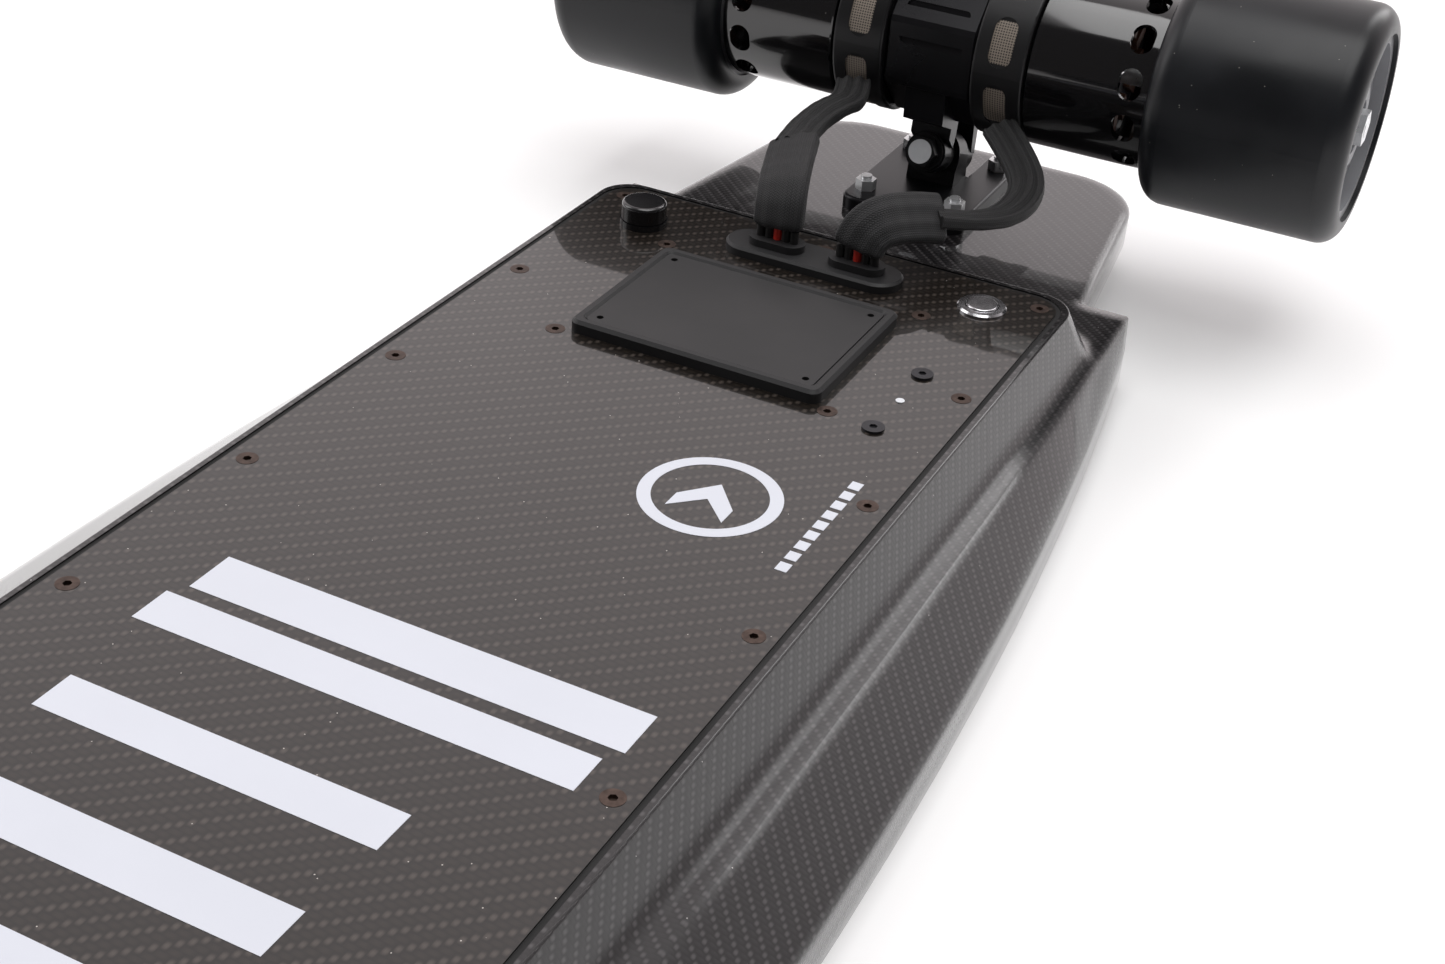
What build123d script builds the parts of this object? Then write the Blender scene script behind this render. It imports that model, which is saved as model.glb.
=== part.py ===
from build123d import *
import math
import os

# Electric skateboard, lying upside down on its deck. Millimetres.
# X runs along the board with the nose at +X, Y across it, and Z = 0 is the surface it lies on.
# Every height is measured in this resting position, so the ground side of the board faces +Z.

# --- deck and enclosure -------------------------------------------------------------
deck_length = 1010.0        # nose tip to tail tip
deck_width = 288.0          # across the rails at mid length
wing_length = 754.0         # between the corners where the wings end
wing_end_width = 228.0      # across the rails at those corners
rail_height = 17.0          # height of the upright rail band
valley_height = 32.0        # floor to the flat ground-side surface of the deck
valley_width = 238.0        # across the outer edges of the two valleys, at mid length
valley_end_width = 226.0    # and at the ends of the wings
valley_round = 5.0          # hollow at the foot of the enclosure's wall
valley_edge_round = 1.2
rail_round = 5.0
trim_depth = 3.0            # the wings' section goes on this far below the floor before it is trimmed
face_height = 50.0          # floor to the face of the enclosure
wall_lean = 29.0            # degrees, enclosure wall from upright
concave_depth = 11.0        # hollow of the riding surface at the middle
concave_width = 272.0       # width of that hollow at mid length
end_plate_width = 192.0     # tail and nose plates where they leave the wings
end_plate_tip_width = 158.0
end_plate_bottom = 16.0
end_plate_radius = 34.0
end_plate_round = 3.0
end_plate_overlap = 12.0    # into the wings
enclosure_length = 703.0    # at its foot
enclosure_width = 222.0
enclosure_corner = 24.0
rim_round = 1.2
cavity_floor = 19.5
cavity_length = 644.0
cavity_width = 168.0
cavity_corner = 12.0
grip_thickness = 1.0
grip_width = 254.0
grip_end_width = 208.0
grip_length = 720.0

# --- cover and its screws -----------------------------------------------------------
cover_length = 674.0
cover_width = 193.6
cover_thickness = 2.5
cover_corner = 12.0
seal_width = 2.0
seal_drop = 0.6
screw_pitch = 82.0
screw_rows = 9
screw_line_width = 180.0
end_screw_x = 328.0
screw_head_radius = 3.6
screw_shank_radius = 1.9
screw_length = 11.0
screw_hole_spare = 0.5      # hole beyond the screw's tip
screw_socket_radius = 1.4
screw_socket_depth = 1.3

# --- heat plate and motor controller ------------------------------------------------
heat_plate_x = -250.0
heat_plate_length = 74.0
heat_plate_width = 99.0
heat_plate_height = 5.0
heat_frame_width = 4.5
heat_pad_length = 50.0      # raised pad that reaches the controller through the cover
heat_pad_width = 75.0
heat_pad_corner = 1.0
heat_plate_corner = 2.0
heat_frame_corner = 4.0
heat_frame_chamfer = 1.2
plate_hole_radius = 1.3
plate_hole_depth = 3.0
bracket_screw_spacing_x = 85.0
bracket_screw_spacing_y = 108.0
bracket_screw_x = -254.5
controller_length = 98.0
controller_width = 122.0
controller_height = 19.0
controller_corner = 3.0
receiver_length = 60.0
receiver_width = 17.0
receiver_height = 7.0
receiver_corner = 2.0
receiver_hole_depth = 3.0

# --- battery ------------------------------------------------------------------------
cell_radius = 10.5
cell_length = 70.0
cell_pitch = 21.8
cell_rows = 20
battery_x = 88.0
column_gap = 6.0
holder_thickness = 5.0
holder_edge = 7.0
holder_cover = 1.0          # holder above the cells and beyond the end ones
cell_lift = 1.5             # cells above the cavity's floor
strip_thickness = 0.4
strip_width = 8.0
strip_inset = 6.0

# --- gland plate, port and button ---------------------------------------------------
gland_x = -313.0
gland_y = 2.0
gland_plate_length = 74.0
gland_plate_width = 20.0
gland_plate_height = 4.0
gland_left_y = -14.0
gland_right_y = 20.0
gland_length = 23.0
gland_width = 11.0
gland_height = 3.0
lead_radius = 1.7
lead_pitch = 3.6
leads_per_side = 5
lead_height = 5.0
lead_tail = 4.0             # below the cover
gland_plate_chamfer = 1.0
sleeve_width = 21.0
sleeve_thickness = 8.4
sleeve_edge_flat = 0.4      # of the sleeve's narrow sides
cable_radius = 5.0
bend_share = 0.45           # of the shorter run beside a corner that its arc takes
port_x = -309.0
port_y = -71.0
port_radius = 9.5
port_flange_height = 2.4
port_bore = 6.2
port_depth = 13.0
port_barrel_depth = 10.0    # below the cover's ledge
fitting_lip = 1.5           # flange of the port and the bezel beyond their barrels
cap_height = 7.0
cap_plug_depth = 6.0
cap_wall = 1.4
cap_inset = 0.5
cap_round = 1.5
button_x = -316.0
button_y = 71.0
bezel_radius = 9.5
bezel_height = 1.4
bezel_chamfer = 0.7
bezel_barrel_depth = 8.0
barrel_clearance = 0.3
barrel_spare = 1.0          # pocket below the bezel's barrel
button_radius = 6.2
button_clearance = 0.3
button_travel = 1.0
button_well = 7.0
button_stand = 0.6          # above the bezel when it is out
button_foot_gap = 0.5       # left below it when it is pressed
button_round = 0.6

# --- trucks -------------------------------------------------------------------------
axle_x = 455.0              # axle to mid length
axle_rise = 69.0            # axle above the deck's ground-side surface
axle_radius = 4.0
pivot_lean = 20.0           # degrees, pivot axis above the deck surface
bolt_spacing_x = 54.0
bolt_spacing_y = 41.3
bolt_centre_inboard = 9.0   # bolt pattern's centre from the axle towards mid length
baseplate_thickness = 6.0
baseplate_length = 80.0
baseplate_width = 56.0
baseplate_round = 1.5
baseplate_corner = 8.0
eye_slot_length = 56.0
eye_slot_gap = 3.0
pivot_face_inboard = 29.8   # outer face of the pivot bolt's head from the axle
pivot_face_rise = 26.0
pivot_bolt_radius = 4.0
pivot_clearance = 0.05
pivot_head_height = 6.0
pivot_head_radius = 7.0
pivot_flange_height = 1.5
pivot_flange_radius = 8.2
pivot_tip_inset = 1.0
front_eye_width = 8.5
bushing_width = 6.0
post_width = 12.0
rear_eye_width = 8.0
eye_radius = 9.0
eye_clearance = 1.5         # cut round the fork's eyes in the post
bushing_radius = 8.6
post_radius = 11.0
turning_gap = 0.3           # between faces that turn past each other
hub_sides = 8
hub_radius = 33.0           # across the hub's flats, halved
hub_width = 40.0
hub_chamfer = 1.5
web_width = 18.0
arm_root_radius = 15.0      # front hanger's arms
arm_tip_radius = 9.0
arm_end = 92.0
axle_inset = 1.0            # axle's tip from the wheel's outer side
axle_nut_width = 5.5
axle_nut_radius = 6.5

# --- motors and wheels --------------------------------------------------------------
collar_inner = 20.0
collar_outer = 42.5
collar_radius = 36.8
collar_round = 1.2
window_count = 8
window_turn = 22.0          # degrees to the first window
can_radius = 36.5
can_wall = 3.0
can_floor = 4.0
can_bore_gap = 1.0
can_chamfer = 0.8
can_start = 43.3
can_end = 76.0
bell_end = 95.0
vent_count = 12
vent_turn = 14.0            # degrees to the first vent
vent_length = 13.0
vent_width = 9.5
vent_shift = 1.0            # vents from the middle of the bell, towards the wheel
vent_reach = 3.0            # cut beyond both sides of the can's wall
wheel_start = 95.0
wheel_radius = 48.5
wheel_width = 81.5
tyre_round = 9.0
core_radius = 38.0
core_wall = 4.0
bearing_radius = 11.0
bearing_width = 7.0
bearing_play = 0.03
hub_wall = 5.0
face_recess = 7.0
bearing_shoulder = 1.5
core_inset = 2.0            # core from the wheel's two sides
hub_boss_height = 2.5
spoke_hole_count = 6
spoke_hole_length = 13.0
spoke_hole_width = 9.0
spacer_radius = 6.0

wheel_end = wheel_start + wheel_width
axle_height = valley_height + axle_rise


def save(part, name):
    part.label = name
    export_step(part, "parts/" + name + ".step")


def rounded_box(length, width, radius, bottom, top, x=0.0, y=0.0):
    with BuildPart() as block:
        with BuildSketch(Plane.XY.offset(bottom)):
            with Locations((x, y)):
                RectangleRounded(length, width, radius)
        extrude(amount=top - bottom)
    return block.part


def ring_y(outer, inner, start, end, x, z):
    """A tube along Y from start to end."""
    with BuildPart() as tube:
        with BuildSketch(Plane(origin=(x, start, z), x_dir=(1, 0, 0), z_dir=(0, 1, 0))):
            Circle(outer)
            if inner > 0:
                Circle(inner, mode=Mode.SUBTRACT)
        extrude(amount=end - start)
    return tube.part


os.makedirs("parts", exist_ok=True)

# --- deck shell: wings, tail and nose plates, and the enclosure's walls in one piece --

mounting_bolt_radius = 2.4
mounting_x = [axle_x - bolt_centre_inboard + step * bolt_spacing_x / 2 for step in (-1, 1)]
mounting_places = [(x, side * bolt_spacing_y / 2) for x in mounting_x for side in (-1, 1)]


def wing_section(x, width, valley):
    """A section across the wings, which runs on below the floor until it is trimmed."""
    half = width / 2
    with BuildSketch(Plane(origin=(x, 0, 0), x_dir=(0, 1, 0), z_dir=(1, 0, 0))) as section:
        Polygon(
            (-half, -trim_depth),
            (half, -trim_depth),
            (half, rail_height),
            (valley / 2, valley_height),
            (-valley / 2, valley_height),
            (-half, rail_height),
            align=None,
        )
        corners = section.vertices().group_by(Axis.Y)
        fillet(corners[-1], radius=valley_edge_round)
        fillet(corners[1], radius=rail_round)
    return section.sketch


concave_radius = ((concave_width / 2) ** 2 + concave_depth**2) / (2 * concave_depth)
end_plate_start = wing_length / 2 - end_plate_overlap
ledge_z = face_height - cover_thickness
recess_length = cover_length + 2 * seal_width
recess_width = cover_width + 2 * seal_width
screw_xs = [(row - (screw_rows - 1) / 2) * screw_pitch for row in range(screw_rows)]
screw_places = [(x, side * screw_line_width / 2) for x in screw_xs for side in (-1, 1)]
screw_places += [(-end_screw_x, 0), (end_screw_x, 0)]

with BuildPart() as wings:
    add(wing_section(-wing_length / 2, wing_end_width, valley_end_width))
    add(wing_section(0, deck_width, valley_width))
    add(wing_section(wing_length / 2, wing_end_width, valley_end_width))
    loft()
    with BuildSketch(Plane.XY.offset(-2 * trim_depth)):
        Rectangle(deck_length, deck_width + 2 * trim_depth)
    extrude(amount=2 * trim_depth, mode=Mode.SUBTRACT)

with BuildPart() as end_plates:
    with BuildSketch(Plane.XY.offset(end_plate_bottom)):
        for side in (-1, 1):
            with BuildLine():
                Polyline(
                    (side * end_plate_start, -end_plate_width / 2),
                    (side * deck_length / 2, -end_plate_tip_width / 2),
                    (side * deck_length / 2, end_plate_tip_width / 2),
                    (side * end_plate_start, end_plate_width / 2),
                    close=True,
                )
            make_face()
    extrude(amount=valley_height - end_plate_bottom)
    upright_edges = end_plates.edges().filter_by(Axis.Z)
    tip_edges = upright_edges.filter_by(lambda e: abs(e.center().X) > deck_length / 2 - 1)
    fillet(tip_edges, radius=end_plate_radius)
    fillet(end_plates.edges().group_by(Axis.Z)[-1], radius=end_plate_round)

with BuildPart() as deck_shell:
    add(wings.part)
    add(end_plates.part)
    with BuildSketch(Plane.XY.offset(valley_height)):
        RectangleRounded(enclosure_length, enclosure_width, enclosure_corner)
    extrude(amount=face_height - valley_height, taper=wall_lean)
    foot_edges = (
        deck_shell.edges()
        .filter_by_position(Axis.Z, valley_height - 0.01, valley_height + 0.01)
        .filter_by_position(Axis.X, -enclosure_length / 2 - 0.1, enclosure_length / 2 + 0.1)
        .filter_by_position(Axis.Y, -enclosure_width / 2 - 0.1, enclosure_width / 2 + 0.1)
    )
    fillet(foot_edges, radius=valley_round)
    fillet(deck_shell.edges().group_by(Axis.Z)[-1], radius=rim_round)
    with BuildSketch(Plane.YZ.offset(-deck_length / 2)):
        with Locations((0, concave_depth - concave_radius)):
            Circle(concave_radius)
    extrude(amount=deck_length, mode=Mode.SUBTRACT)
    with BuildSketch(Plane.XY.offset(ledge_z)):
        RectangleRounded(recess_length, recess_width, cover_corner + seal_width)
    extrude(amount=cover_thickness, mode=Mode.SUBTRACT)
    with BuildSketch(Plane.XY.offset(cavity_floor)):
        RectangleRounded(cavity_length, cavity_width, cavity_corner)
    extrude(amount=face_height - cavity_floor, mode=Mode.SUBTRACT)
    with Locations(*[(x, y, ledge_z) for x, y in screw_places]):
        Hole(screw_shank_radius, screw_length - cover_thickness + screw_hole_spare)
    with Locations((button_x, button_y, ledge_z)):
        Hole(bezel_radius - fitting_lip + barrel_clearance, bezel_barrel_depth + barrel_spare)
    hole_places = [(end * x, y, valley_height) for end in (-1, 1) for x, y in mounting_places]
    with Locations(*hole_places):
        Hole(mounting_bolt_radius, valley_height)
save(deck_shell.part, "deck_shell")

with BuildPart() as grip_tape:
    with BuildSketch(Plane.XY):
        with BuildLine():
            right = ThreePointArc(
                (-grip_length / 2, grip_end_width / 2),
                (0, grip_width / 2),
                (grip_length / 2, grip_end_width / 2),
            )
            left = ThreePointArc(
                (-grip_length / 2, -grip_end_width / 2),
                (0, -grip_width / 2),
                (grip_length / 2, -grip_end_width / 2),
            )
            Line(right @ 0, left @ 0)
            Line(right @ 1, left @ 1)
        make_face()
    extrude(amount=2 * concave_depth)
    with BuildSketch(Plane.YZ.offset(-deck_length / 2)):
        with Locations((0, concave_depth - concave_radius)):
            Circle(concave_radius)
            Circle(concave_radius - grip_thickness, mode=Mode.SUBTRACT)
    extrude(amount=deck_length, mode=Mode.INTERSECT)
save(grip_tape.part, "grip_tape")

# --- cover, its seal and its screws ---------------------------------------------------

window_clearance = 0.3
bracket_places = [
    (bracket_screw_x + i * bracket_screw_spacing_x / 2, j * bracket_screw_spacing_y / 2)
    for i in (-1, 1)
    for j in (-1, 1)
]
antenna_places = [(-254.0, 72.0), (-210.0, 72.0)]
antenna_head_radius = 4.0
antenna_head_height = 0.9
antenna_shank_radius = 1.6
antenna_shank_length = 5.0
antenna_socket_radius = 1.5
antenna_socket_depth = 0.8
led_place = (-232.5, 72.5)
led_radius = 1.6
led_stand = 0.3
button_bore = button_radius + button_clearance


def countersunk_screws(places, top, length):
    """Countersunk screws with a hexagon socket, as separate solids."""
    with BuildPart() as screws:
        for x, y in places:
            with BuildSketch(Plane(origin=(x, y, top), x_dir=(1, 0, 0), z_dir=(0, -1, 0))):
                Polygon(
                    (0, 0),
                    (screw_head_radius, 0),
                    (screw_shank_radius, screw_shank_radius - screw_head_radius),
                    (screw_shank_radius, -length),
                    (0, -length),
                    align=None,
                )
            revolve(axis=Axis((x, y, 0), (0, 0, 1)))
        with BuildSketch(Plane.XY.offset(top)):
            with Locations(*places):
                RegularPolygon(screw_socket_radius, 6)
        extrude(amount=-screw_socket_depth, mode=Mode.SUBTRACT)
    return screws.part


with BuildPart() as bottom_cover:
    add(rounded_box(cover_length, cover_width, cover_corner, ledge_z, face_height))
    with Locations(*[(x, y, face_height) for x, y in screw_places + bracket_places]):
        CounterSinkHole(screw_shank_radius, screw_head_radius, counter_sink_angle=90)
    with BuildSketch(Plane.XY.offset(ledge_z)):
        with Locations((heat_plate_x, 0)):
            Rectangle(heat_pad_length + 2 * window_clearance, heat_pad_width + 2 * window_clearance)
        with Locations((gland_x, gland_left_y), (gland_x, gland_right_y)):
            SlotOverall(gland_length, gland_width, rotation=90)
        with Locations((port_x, port_y)):
            Circle(port_radius - fitting_lip)
        with Locations((button_x, button_y)):
            Circle(bezel_radius - fitting_lip)
        with Locations(*antenna_places):
            Circle(antenna_shank_radius)
        with Locations(led_place):
            Circle(led_radius)
    extrude(amount=cover_thickness, mode=Mode.SUBTRACT)
save(bottom_cover.part, "bottom_cover")

with BuildPart() as cover_seal:
    with BuildSketch(Plane.XY.offset(ledge_z)):
        RectangleRounded(recess_length, recess_width, cover_corner + seal_width)
        RectangleRounded(cover_length, cover_width, cover_corner, mode=Mode.SUBTRACT)
    extrude(amount=cover_thickness - seal_drop)
save(cover_seal.part, "cover_seal")

save(countersunk_screws(screw_places + bracket_places, face_height, screw_length), "cover_screws")

with BuildPart() as antenna_screws:
    with BuildSketch(Plane.XY.offset(face_height)):
        with Locations(*antenna_places):
            Circle(antenna_head_radius)
    extrude(amount=antenna_head_height)
    with BuildSketch(Plane.XY.offset(face_height - antenna_shank_length)):
        with Locations(*antenna_places):
            Circle(antenna_shank_radius)
    extrude(amount=antenna_shank_length)
    with BuildSketch(Plane.XY.offset(face_height + antenna_head_height)):
        with Locations(*antenna_places):
            RegularPolygon(antenna_socket_radius, 6)
    extrude(amount=-antenna_socket_depth, mode=Mode.SUBTRACT)
save(antenna_screws.part, "antenna_screws")

with BuildPart() as status_led:
    with BuildSketch(Plane.XY.offset(ledge_z)):
        with Locations(led_place):
            Circle(led_radius)
    extrude(amount=cover_thickness + led_stand)
save(status_led.part, "status_led")

# --- heat plate over the motor controller ----------------------------------------------

frame_inner_length = heat_plate_length - 2 * heat_frame_width
frame_inner_width = heat_plate_width - 2 * heat_frame_width
plate_drop = 0.7
plate_screw_inset = 4.0
plate_screw_x = frame_inner_length / 2 - plate_screw_inset
plate_screw_y = frame_inner_width / 2 - plate_screw_inset
plate_screw_places = [
    (heat_plate_x + i * plate_screw_x, j * plate_screw_y)
    for i in (-1, 1)
    for j in (-1, 1)
]
plate_face = face_height + heat_plate_height - plate_drop

with BuildPart() as heat_plate:
    add(
        rounded_box(
            frame_inner_length, frame_inner_width, heat_plate_corner,
            face_height, plate_face, heat_plate_x,
        )
    )
    add(rounded_box(heat_pad_length, heat_pad_width, heat_pad_corner, ledge_z, face_height, heat_plate_x))
    with Locations(*[(x, y, plate_face) for x, y in plate_screw_places]):
        Hole(plate_hole_radius, plate_hole_depth)
save(heat_plate.part, "heat_plate")

with BuildPart() as heat_plate_frame:
    with BuildSketch(Plane.XY.offset(face_height)):
        with Locations((heat_plate_x, 0)):
            RectangleRounded(heat_plate_length, heat_plate_width, heat_frame_corner)
            RectangleRounded(frame_inner_length, frame_inner_width, heat_plate_corner, mode=Mode.SUBTRACT)
    extrude(amount=heat_plate_height)
    top_rims = heat_plate_frame.edges().group_by(Axis.Z)[-1]
    chamfer(top_rims, length=heat_frame_chamfer)
save(heat_plate_frame.part, "heat_plate_frame")

with BuildPart() as motor_controller:
    add(
        rounded_box(
            controller_length, controller_width, controller_corner,
            ledge_z - controller_height, ledge_z, bracket_screw_x,
        )
    )
    with Locations(*[(x, y, ledge_z) for x, y in bracket_places]):
        Hole(screw_shank_radius, screw_length - cover_thickness + screw_hole_spare)
save(motor_controller.part, "motor_controller")

receiver_x = (antenna_places[0][0] + antenna_places[1][0]) / 2
receiver_y = 74.0
with BuildPart() as remote_receiver:
    add(
        rounded_box(
            receiver_length, receiver_width, receiver_corner,
            ledge_z - receiver_height, ledge_z, receiver_x, receiver_y,
        )
    )
    with Locations(*[(x, y, ledge_z) for x, y in antenna_places]):
        Hole(antenna_shank_radius, receiver_hole_depth)
save(remote_receiver.part, "remote_receiver")

# --- battery ----------------------------------------------------------------------------

cell_z = cavity_floor + cell_lift + cell_radius
row_length = cell_rows * cell_pitch
holder_top = cell_z + cell_radius + holder_cover
cell_xs = [battery_x + (row - (cell_rows - 1) / 2) * cell_pitch for row in range(cell_rows)]
column_starts = [column_gap / 2, -column_gap / 2 - cell_length]
holder_starts = [
    start + place
    for start in column_starts
    for place in (holder_edge, cell_length - holder_edge - holder_thickness)
]


def y_plane(y):
    return Plane(origin=(0, y, 0), x_dir=(1, 0, 0), z_dir=(0, 1, 0))


with BuildPart() as battery_cells:
    for start in column_starts:
        with BuildSketch(y_plane(start)):
            with Locations(*[(x, -cell_z) for x in cell_xs]):
                Circle(cell_radius)
        extrude(amount=cell_length)
save(battery_cells.part, "battery_cells")

with BuildPart() as cell_holders:
    for start in holder_starts:
        with BuildSketch(y_plane(start)):
            with Locations((battery_x, -(cavity_floor + holder_top) / 2)):
                Rectangle(row_length + 2 * holder_cover, holder_top - cavity_floor)
            with Locations(*[(x, -cell_z) for x in cell_xs]):
                Circle(cell_radius, mode=Mode.SUBTRACT)
        extrude(amount=holder_thickness)
save(cell_holders.part, "cell_holders")

strip_starts = [start - strip_thickness for start in column_starts]
strip_starts += [start + cell_length for start in column_starts]
with BuildPart() as nickel_strips:
    for start in strip_starts:
        with BuildSketch(y_plane(start)):
            with Locations((battery_x, -cell_z)):
                Rectangle(row_length - 2 * strip_inset, strip_width)
        extrude(amount=strip_thickness)
save(nickel_strips.part, "nickel_strips")

manager_x = -163.0
manager_corner = 1.0
board_bottom = 30.0
board_top = 31.6
# Length, width, bottom, top and Y of the circuit board, the two parts on it and its foot.
manager_blocks = [
    (34.0, 120.0, board_bottom, board_top, 0),
    (22.0, 40.0, board_top, 36.0, -30.0),
    (14.0, 30.0, board_top, 40.0, 30.0),
    (6.0, 110.0, cavity_floor, board_bottom, 0),
]

with BuildPart() as battery_manager:
    for length, width, bottom, top, y in manager_blocks:
        add(rounded_box(length, width, manager_corner, bottom, top, manager_x, y))
save(battery_manager.part, "battery_manager")

# --- gland plate with the motor leads -------------------------------------------------------

gland_places = [(gland_x, gland_left_y), (gland_x, gland_right_y)]
lead_steps = [step - (leads_per_side - 1) / 2 for step in range(leads_per_side)]
lead_places = [(x, y + step * lead_pitch) for x, y in gland_places for step in lead_steps]
power_places = [place for place in lead_places if place not in gland_places]
plate_top = face_height + gland_plate_height
gland_top = plate_top + gland_height

with BuildPart() as gland_plate:
    with BuildSketch(Plane.XY.offset(face_height)):
        with Locations((gland_x, gland_y)):
            SlotOverall(gland_plate_length, gland_plate_width, rotation=90)
        with Locations(*gland_places):
            SlotOverall(gland_length, gland_width, rotation=90, mode=Mode.SUBTRACT)
    extrude(amount=gland_plate_height)
    chamfer(gland_plate.faces().sort_by(Axis.Z)[-1].outer_wire().edges(), length=gland_plate_chamfer)
save(gland_plate.part, "gland_plate")

with BuildPart() as cable_glands:
    with BuildSketch(Plane.XY.offset(ledge_z)):
        with Locations(*gland_places):
            SlotOverall(gland_length, gland_width, rotation=90)
        with Locations(*lead_places):
            Circle(lead_radius, mode=Mode.SUBTRACT)
    extrude(amount=gland_top - ledge_z)
save(cable_glands.part, "cable_glands")


def leads(places, name):
    with BuildPart() as lead:
        with BuildSketch(Plane.XY.offset(ledge_z - lead_tail)):
            with Locations(*places):
                Circle(lead_radius)
        extrude(amount=gland_top + lead_height - ledge_z + lead_tail)
    save(lead.part, name)


leads(power_places, "phase_leads")
leads(gland_places, "signal_leads")


def bend_radii(points):
    """Radius of the arc at each corner of a route, as large as its two runs allow."""
    corners = [Vector(*point) for point in points]
    radii = []
    for before, corner, after in zip(corners, corners[1:], corners[2:]):
        turn = math.radians((corner - before).get_angle(after - corner))
        shorter = min((corner - before).length, (after - corner).length)
        radii.append(bend_share * shorter / math.tan(turn / 2))
    print("bend radii", [round(radius, 1) for radius in radii])
    return radii


def flat_sleeve(points, wide, thick, name):
    """A flattened tube along a route that starts straight up, its wide side across the board."""
    with BuildPart() as sleeve:
        with BuildLine() as route:
            FilletPolyline(*points, radius=bend_radii(points))
        with BuildSketch(Plane(origin=points[0], x_dir=(0, 1, 0), z_dir=(0, 0, 1))):
            RectangleRounded(wide, thick, (thick - sleeve_edge_flat) / 2)
        sweep(path=route.wire())
    print(name, "volume", round(sleeve.part.volume), "route length", round(route.wire().length, 1))
    save(sleeve.part, name)


def round_cable(points, radius, name):
    start = Vector(*points[0])
    with BuildPart() as cable:
        with BuildLine() as route:
            FilletPolyline(*points, radius=bend_radii(points))
        with BuildSketch(Plane(origin=start, z_dir=Vector(*points[1]) - start)):
            Circle(radius)
        sweep(path=route.wire())
    expected = math.pi * radius**2 * route.wire().length
    print(name, "volume", round(cable.part.volume), "of", round(expected))
    save(cable.part, name)


sleeve_base = gland_top + lead_height
left_sleeve_route = [
    (gland_x, gland_left_y, sleeve_base),
    (-314.0, -14.5, 73.0),
    (-330.0, -20.0, 80.0),
    (-352.0, -27.0, 81.0),
]
left_cable_route = [
    (-352.0, -27.0, 81.0),
    (-370.0, -31.0, 80.0),
    (-388.0, -27.0, 84.0),
    (-403.0, -25.0, 82.0),
    (-417.0, -31.0, 84.0),
]
right_sleeve_route = [
    (gland_x, gland_right_y, sleeve_base),
    (-314.0, 21.5, 71.0),
    (-326.0, 32.0, 74.0),
    (-338.0, 43.0, 71.0),
]
right_cable_route = [
    (-338.0, 43.0, 71.0),
    (-352.0, 54.5, 67.0),
    (-374.0, 61.0, 65.0),
    (-396.0, 59.0, 67.0),
    (-410.0, 48.0, 73.0),
    (-419.0, 36.0, 79.0),
]
flat_sleeve(left_sleeve_route, sleeve_width, sleeve_thickness, "heat_shrink_left")
flat_sleeve(right_sleeve_route, sleeve_width, sleeve_thickness, "heat_shrink_right")
round_cable(left_cable_route, cable_radius, "motor_cable_left")
round_cable(right_cable_route, cable_radius, "motor_cable_right")

# --- charge port with its cap, and the power button -------------------------------------------

with BuildPart() as charge_port:
    with BuildSketch(Plane.XY.offset(ledge_z - port_barrel_depth)):
        with Locations((port_x, port_y)):
            Circle(port_radius - fitting_lip)
    extrude(amount=port_barrel_depth + cover_thickness)
    with BuildSketch(Plane.XY.offset(face_height)):
        with Locations((port_x, port_y)):
            Circle(port_radius)
    extrude(amount=port_flange_height)
    with Locations((port_x, port_y, face_height + port_flange_height)):
        Hole(port_bore, port_depth)
save(charge_port.part, "charge_port")

cap_base = face_height + port_flange_height + turning_gap
with BuildPart() as charge_cap:
    with BuildSketch(Plane.XY.offset(cap_base)):
        with Locations((port_x, port_y)):
            Circle(port_radius - cap_inset)
    extrude(amount=cap_height)
    fillet(charge_cap.edges().group_by(Axis.Z)[-1], radius=cap_round)
    with BuildSketch(Plane.XY.offset(cap_base)):
        with Locations((port_x, port_y)):
            Circle(port_bore - turning_gap)
    extrude(amount=-cap_plug_depth)
    with BuildSketch(Plane.XY.offset(cap_base - cap_plug_depth)):
        with Locations((port_x, port_y)):
            Circle(port_bore - turning_gap - cap_wall)
    extrude(amount=cap_plug_depth + cap_height - cap_wall, mode=Mode.SUBTRACT)
save(charge_cap.part, "charge_cap")

with BuildPart() as button_bezel:
    with BuildSketch(Plane.XY.offset(ledge_z - bezel_barrel_depth)):
        with Locations((button_x, button_y)):
            Circle(bezel_radius - fitting_lip)
    extrude(amount=bezel_barrel_depth + cover_thickness)
    with BuildSketch(Plane.XY.offset(face_height)):
        with Locations((button_x, button_y)):
            Circle(bezel_radius)
    extrude(amount=bezel_height)
    chamfer(button_bezel.edges().group_by(Axis.Z)[-1], length=bezel_chamfer)
    with Locations((button_x, button_y, face_height + bezel_height)):
        Hole(button_bore, button_well)
save(button_bezel.part, "button_bezel")

button_top = face_height + bezel_height + button_stand
button_foot = face_height + bezel_height - button_well + button_travel + button_foot_gap
with BuildPart() as power_button:
    with BuildSketch(Plane.XY.offset(button_foot)):
        with Locations((button_x, button_y)):
            Circle(button_radius)
    extrude(amount=button_top - button_foot)
    fillet(power_button.edges().group_by(Axis.Z)[-1], radius=button_round)
save(power_button.part, "power_button")

# --- trucks ---------------------------------------------------------------------------------
# Each truck is made at the tail, and its copy at the nose is the mirror image.

lean = math.radians(pivot_lean)
pivot_face = Vector(-axle_x + pivot_face_inboard, 0, valley_height + pivot_face_rise)
pivot_direction = Vector(math.cos(lean), 0, math.sin(lean))
front_eye_start = pivot_head_height + pivot_flange_height
front_bushing_start = front_eye_start + front_eye_width
post_start = front_bushing_start + bushing_width
rear_bushing_start = post_start + post_width
rear_eye_start = rear_bushing_start + bushing_width
pivot_length = rear_eye_start + rear_eye_width


def pivot_plane(depth):
    """A plane across the pivot axis, depth behind the outer face of the bolt's head."""
    return Plane(origin=pivot_face - pivot_direction * depth, x_dir=(0, 1, 0), z_dir=-pivot_direction)


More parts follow.
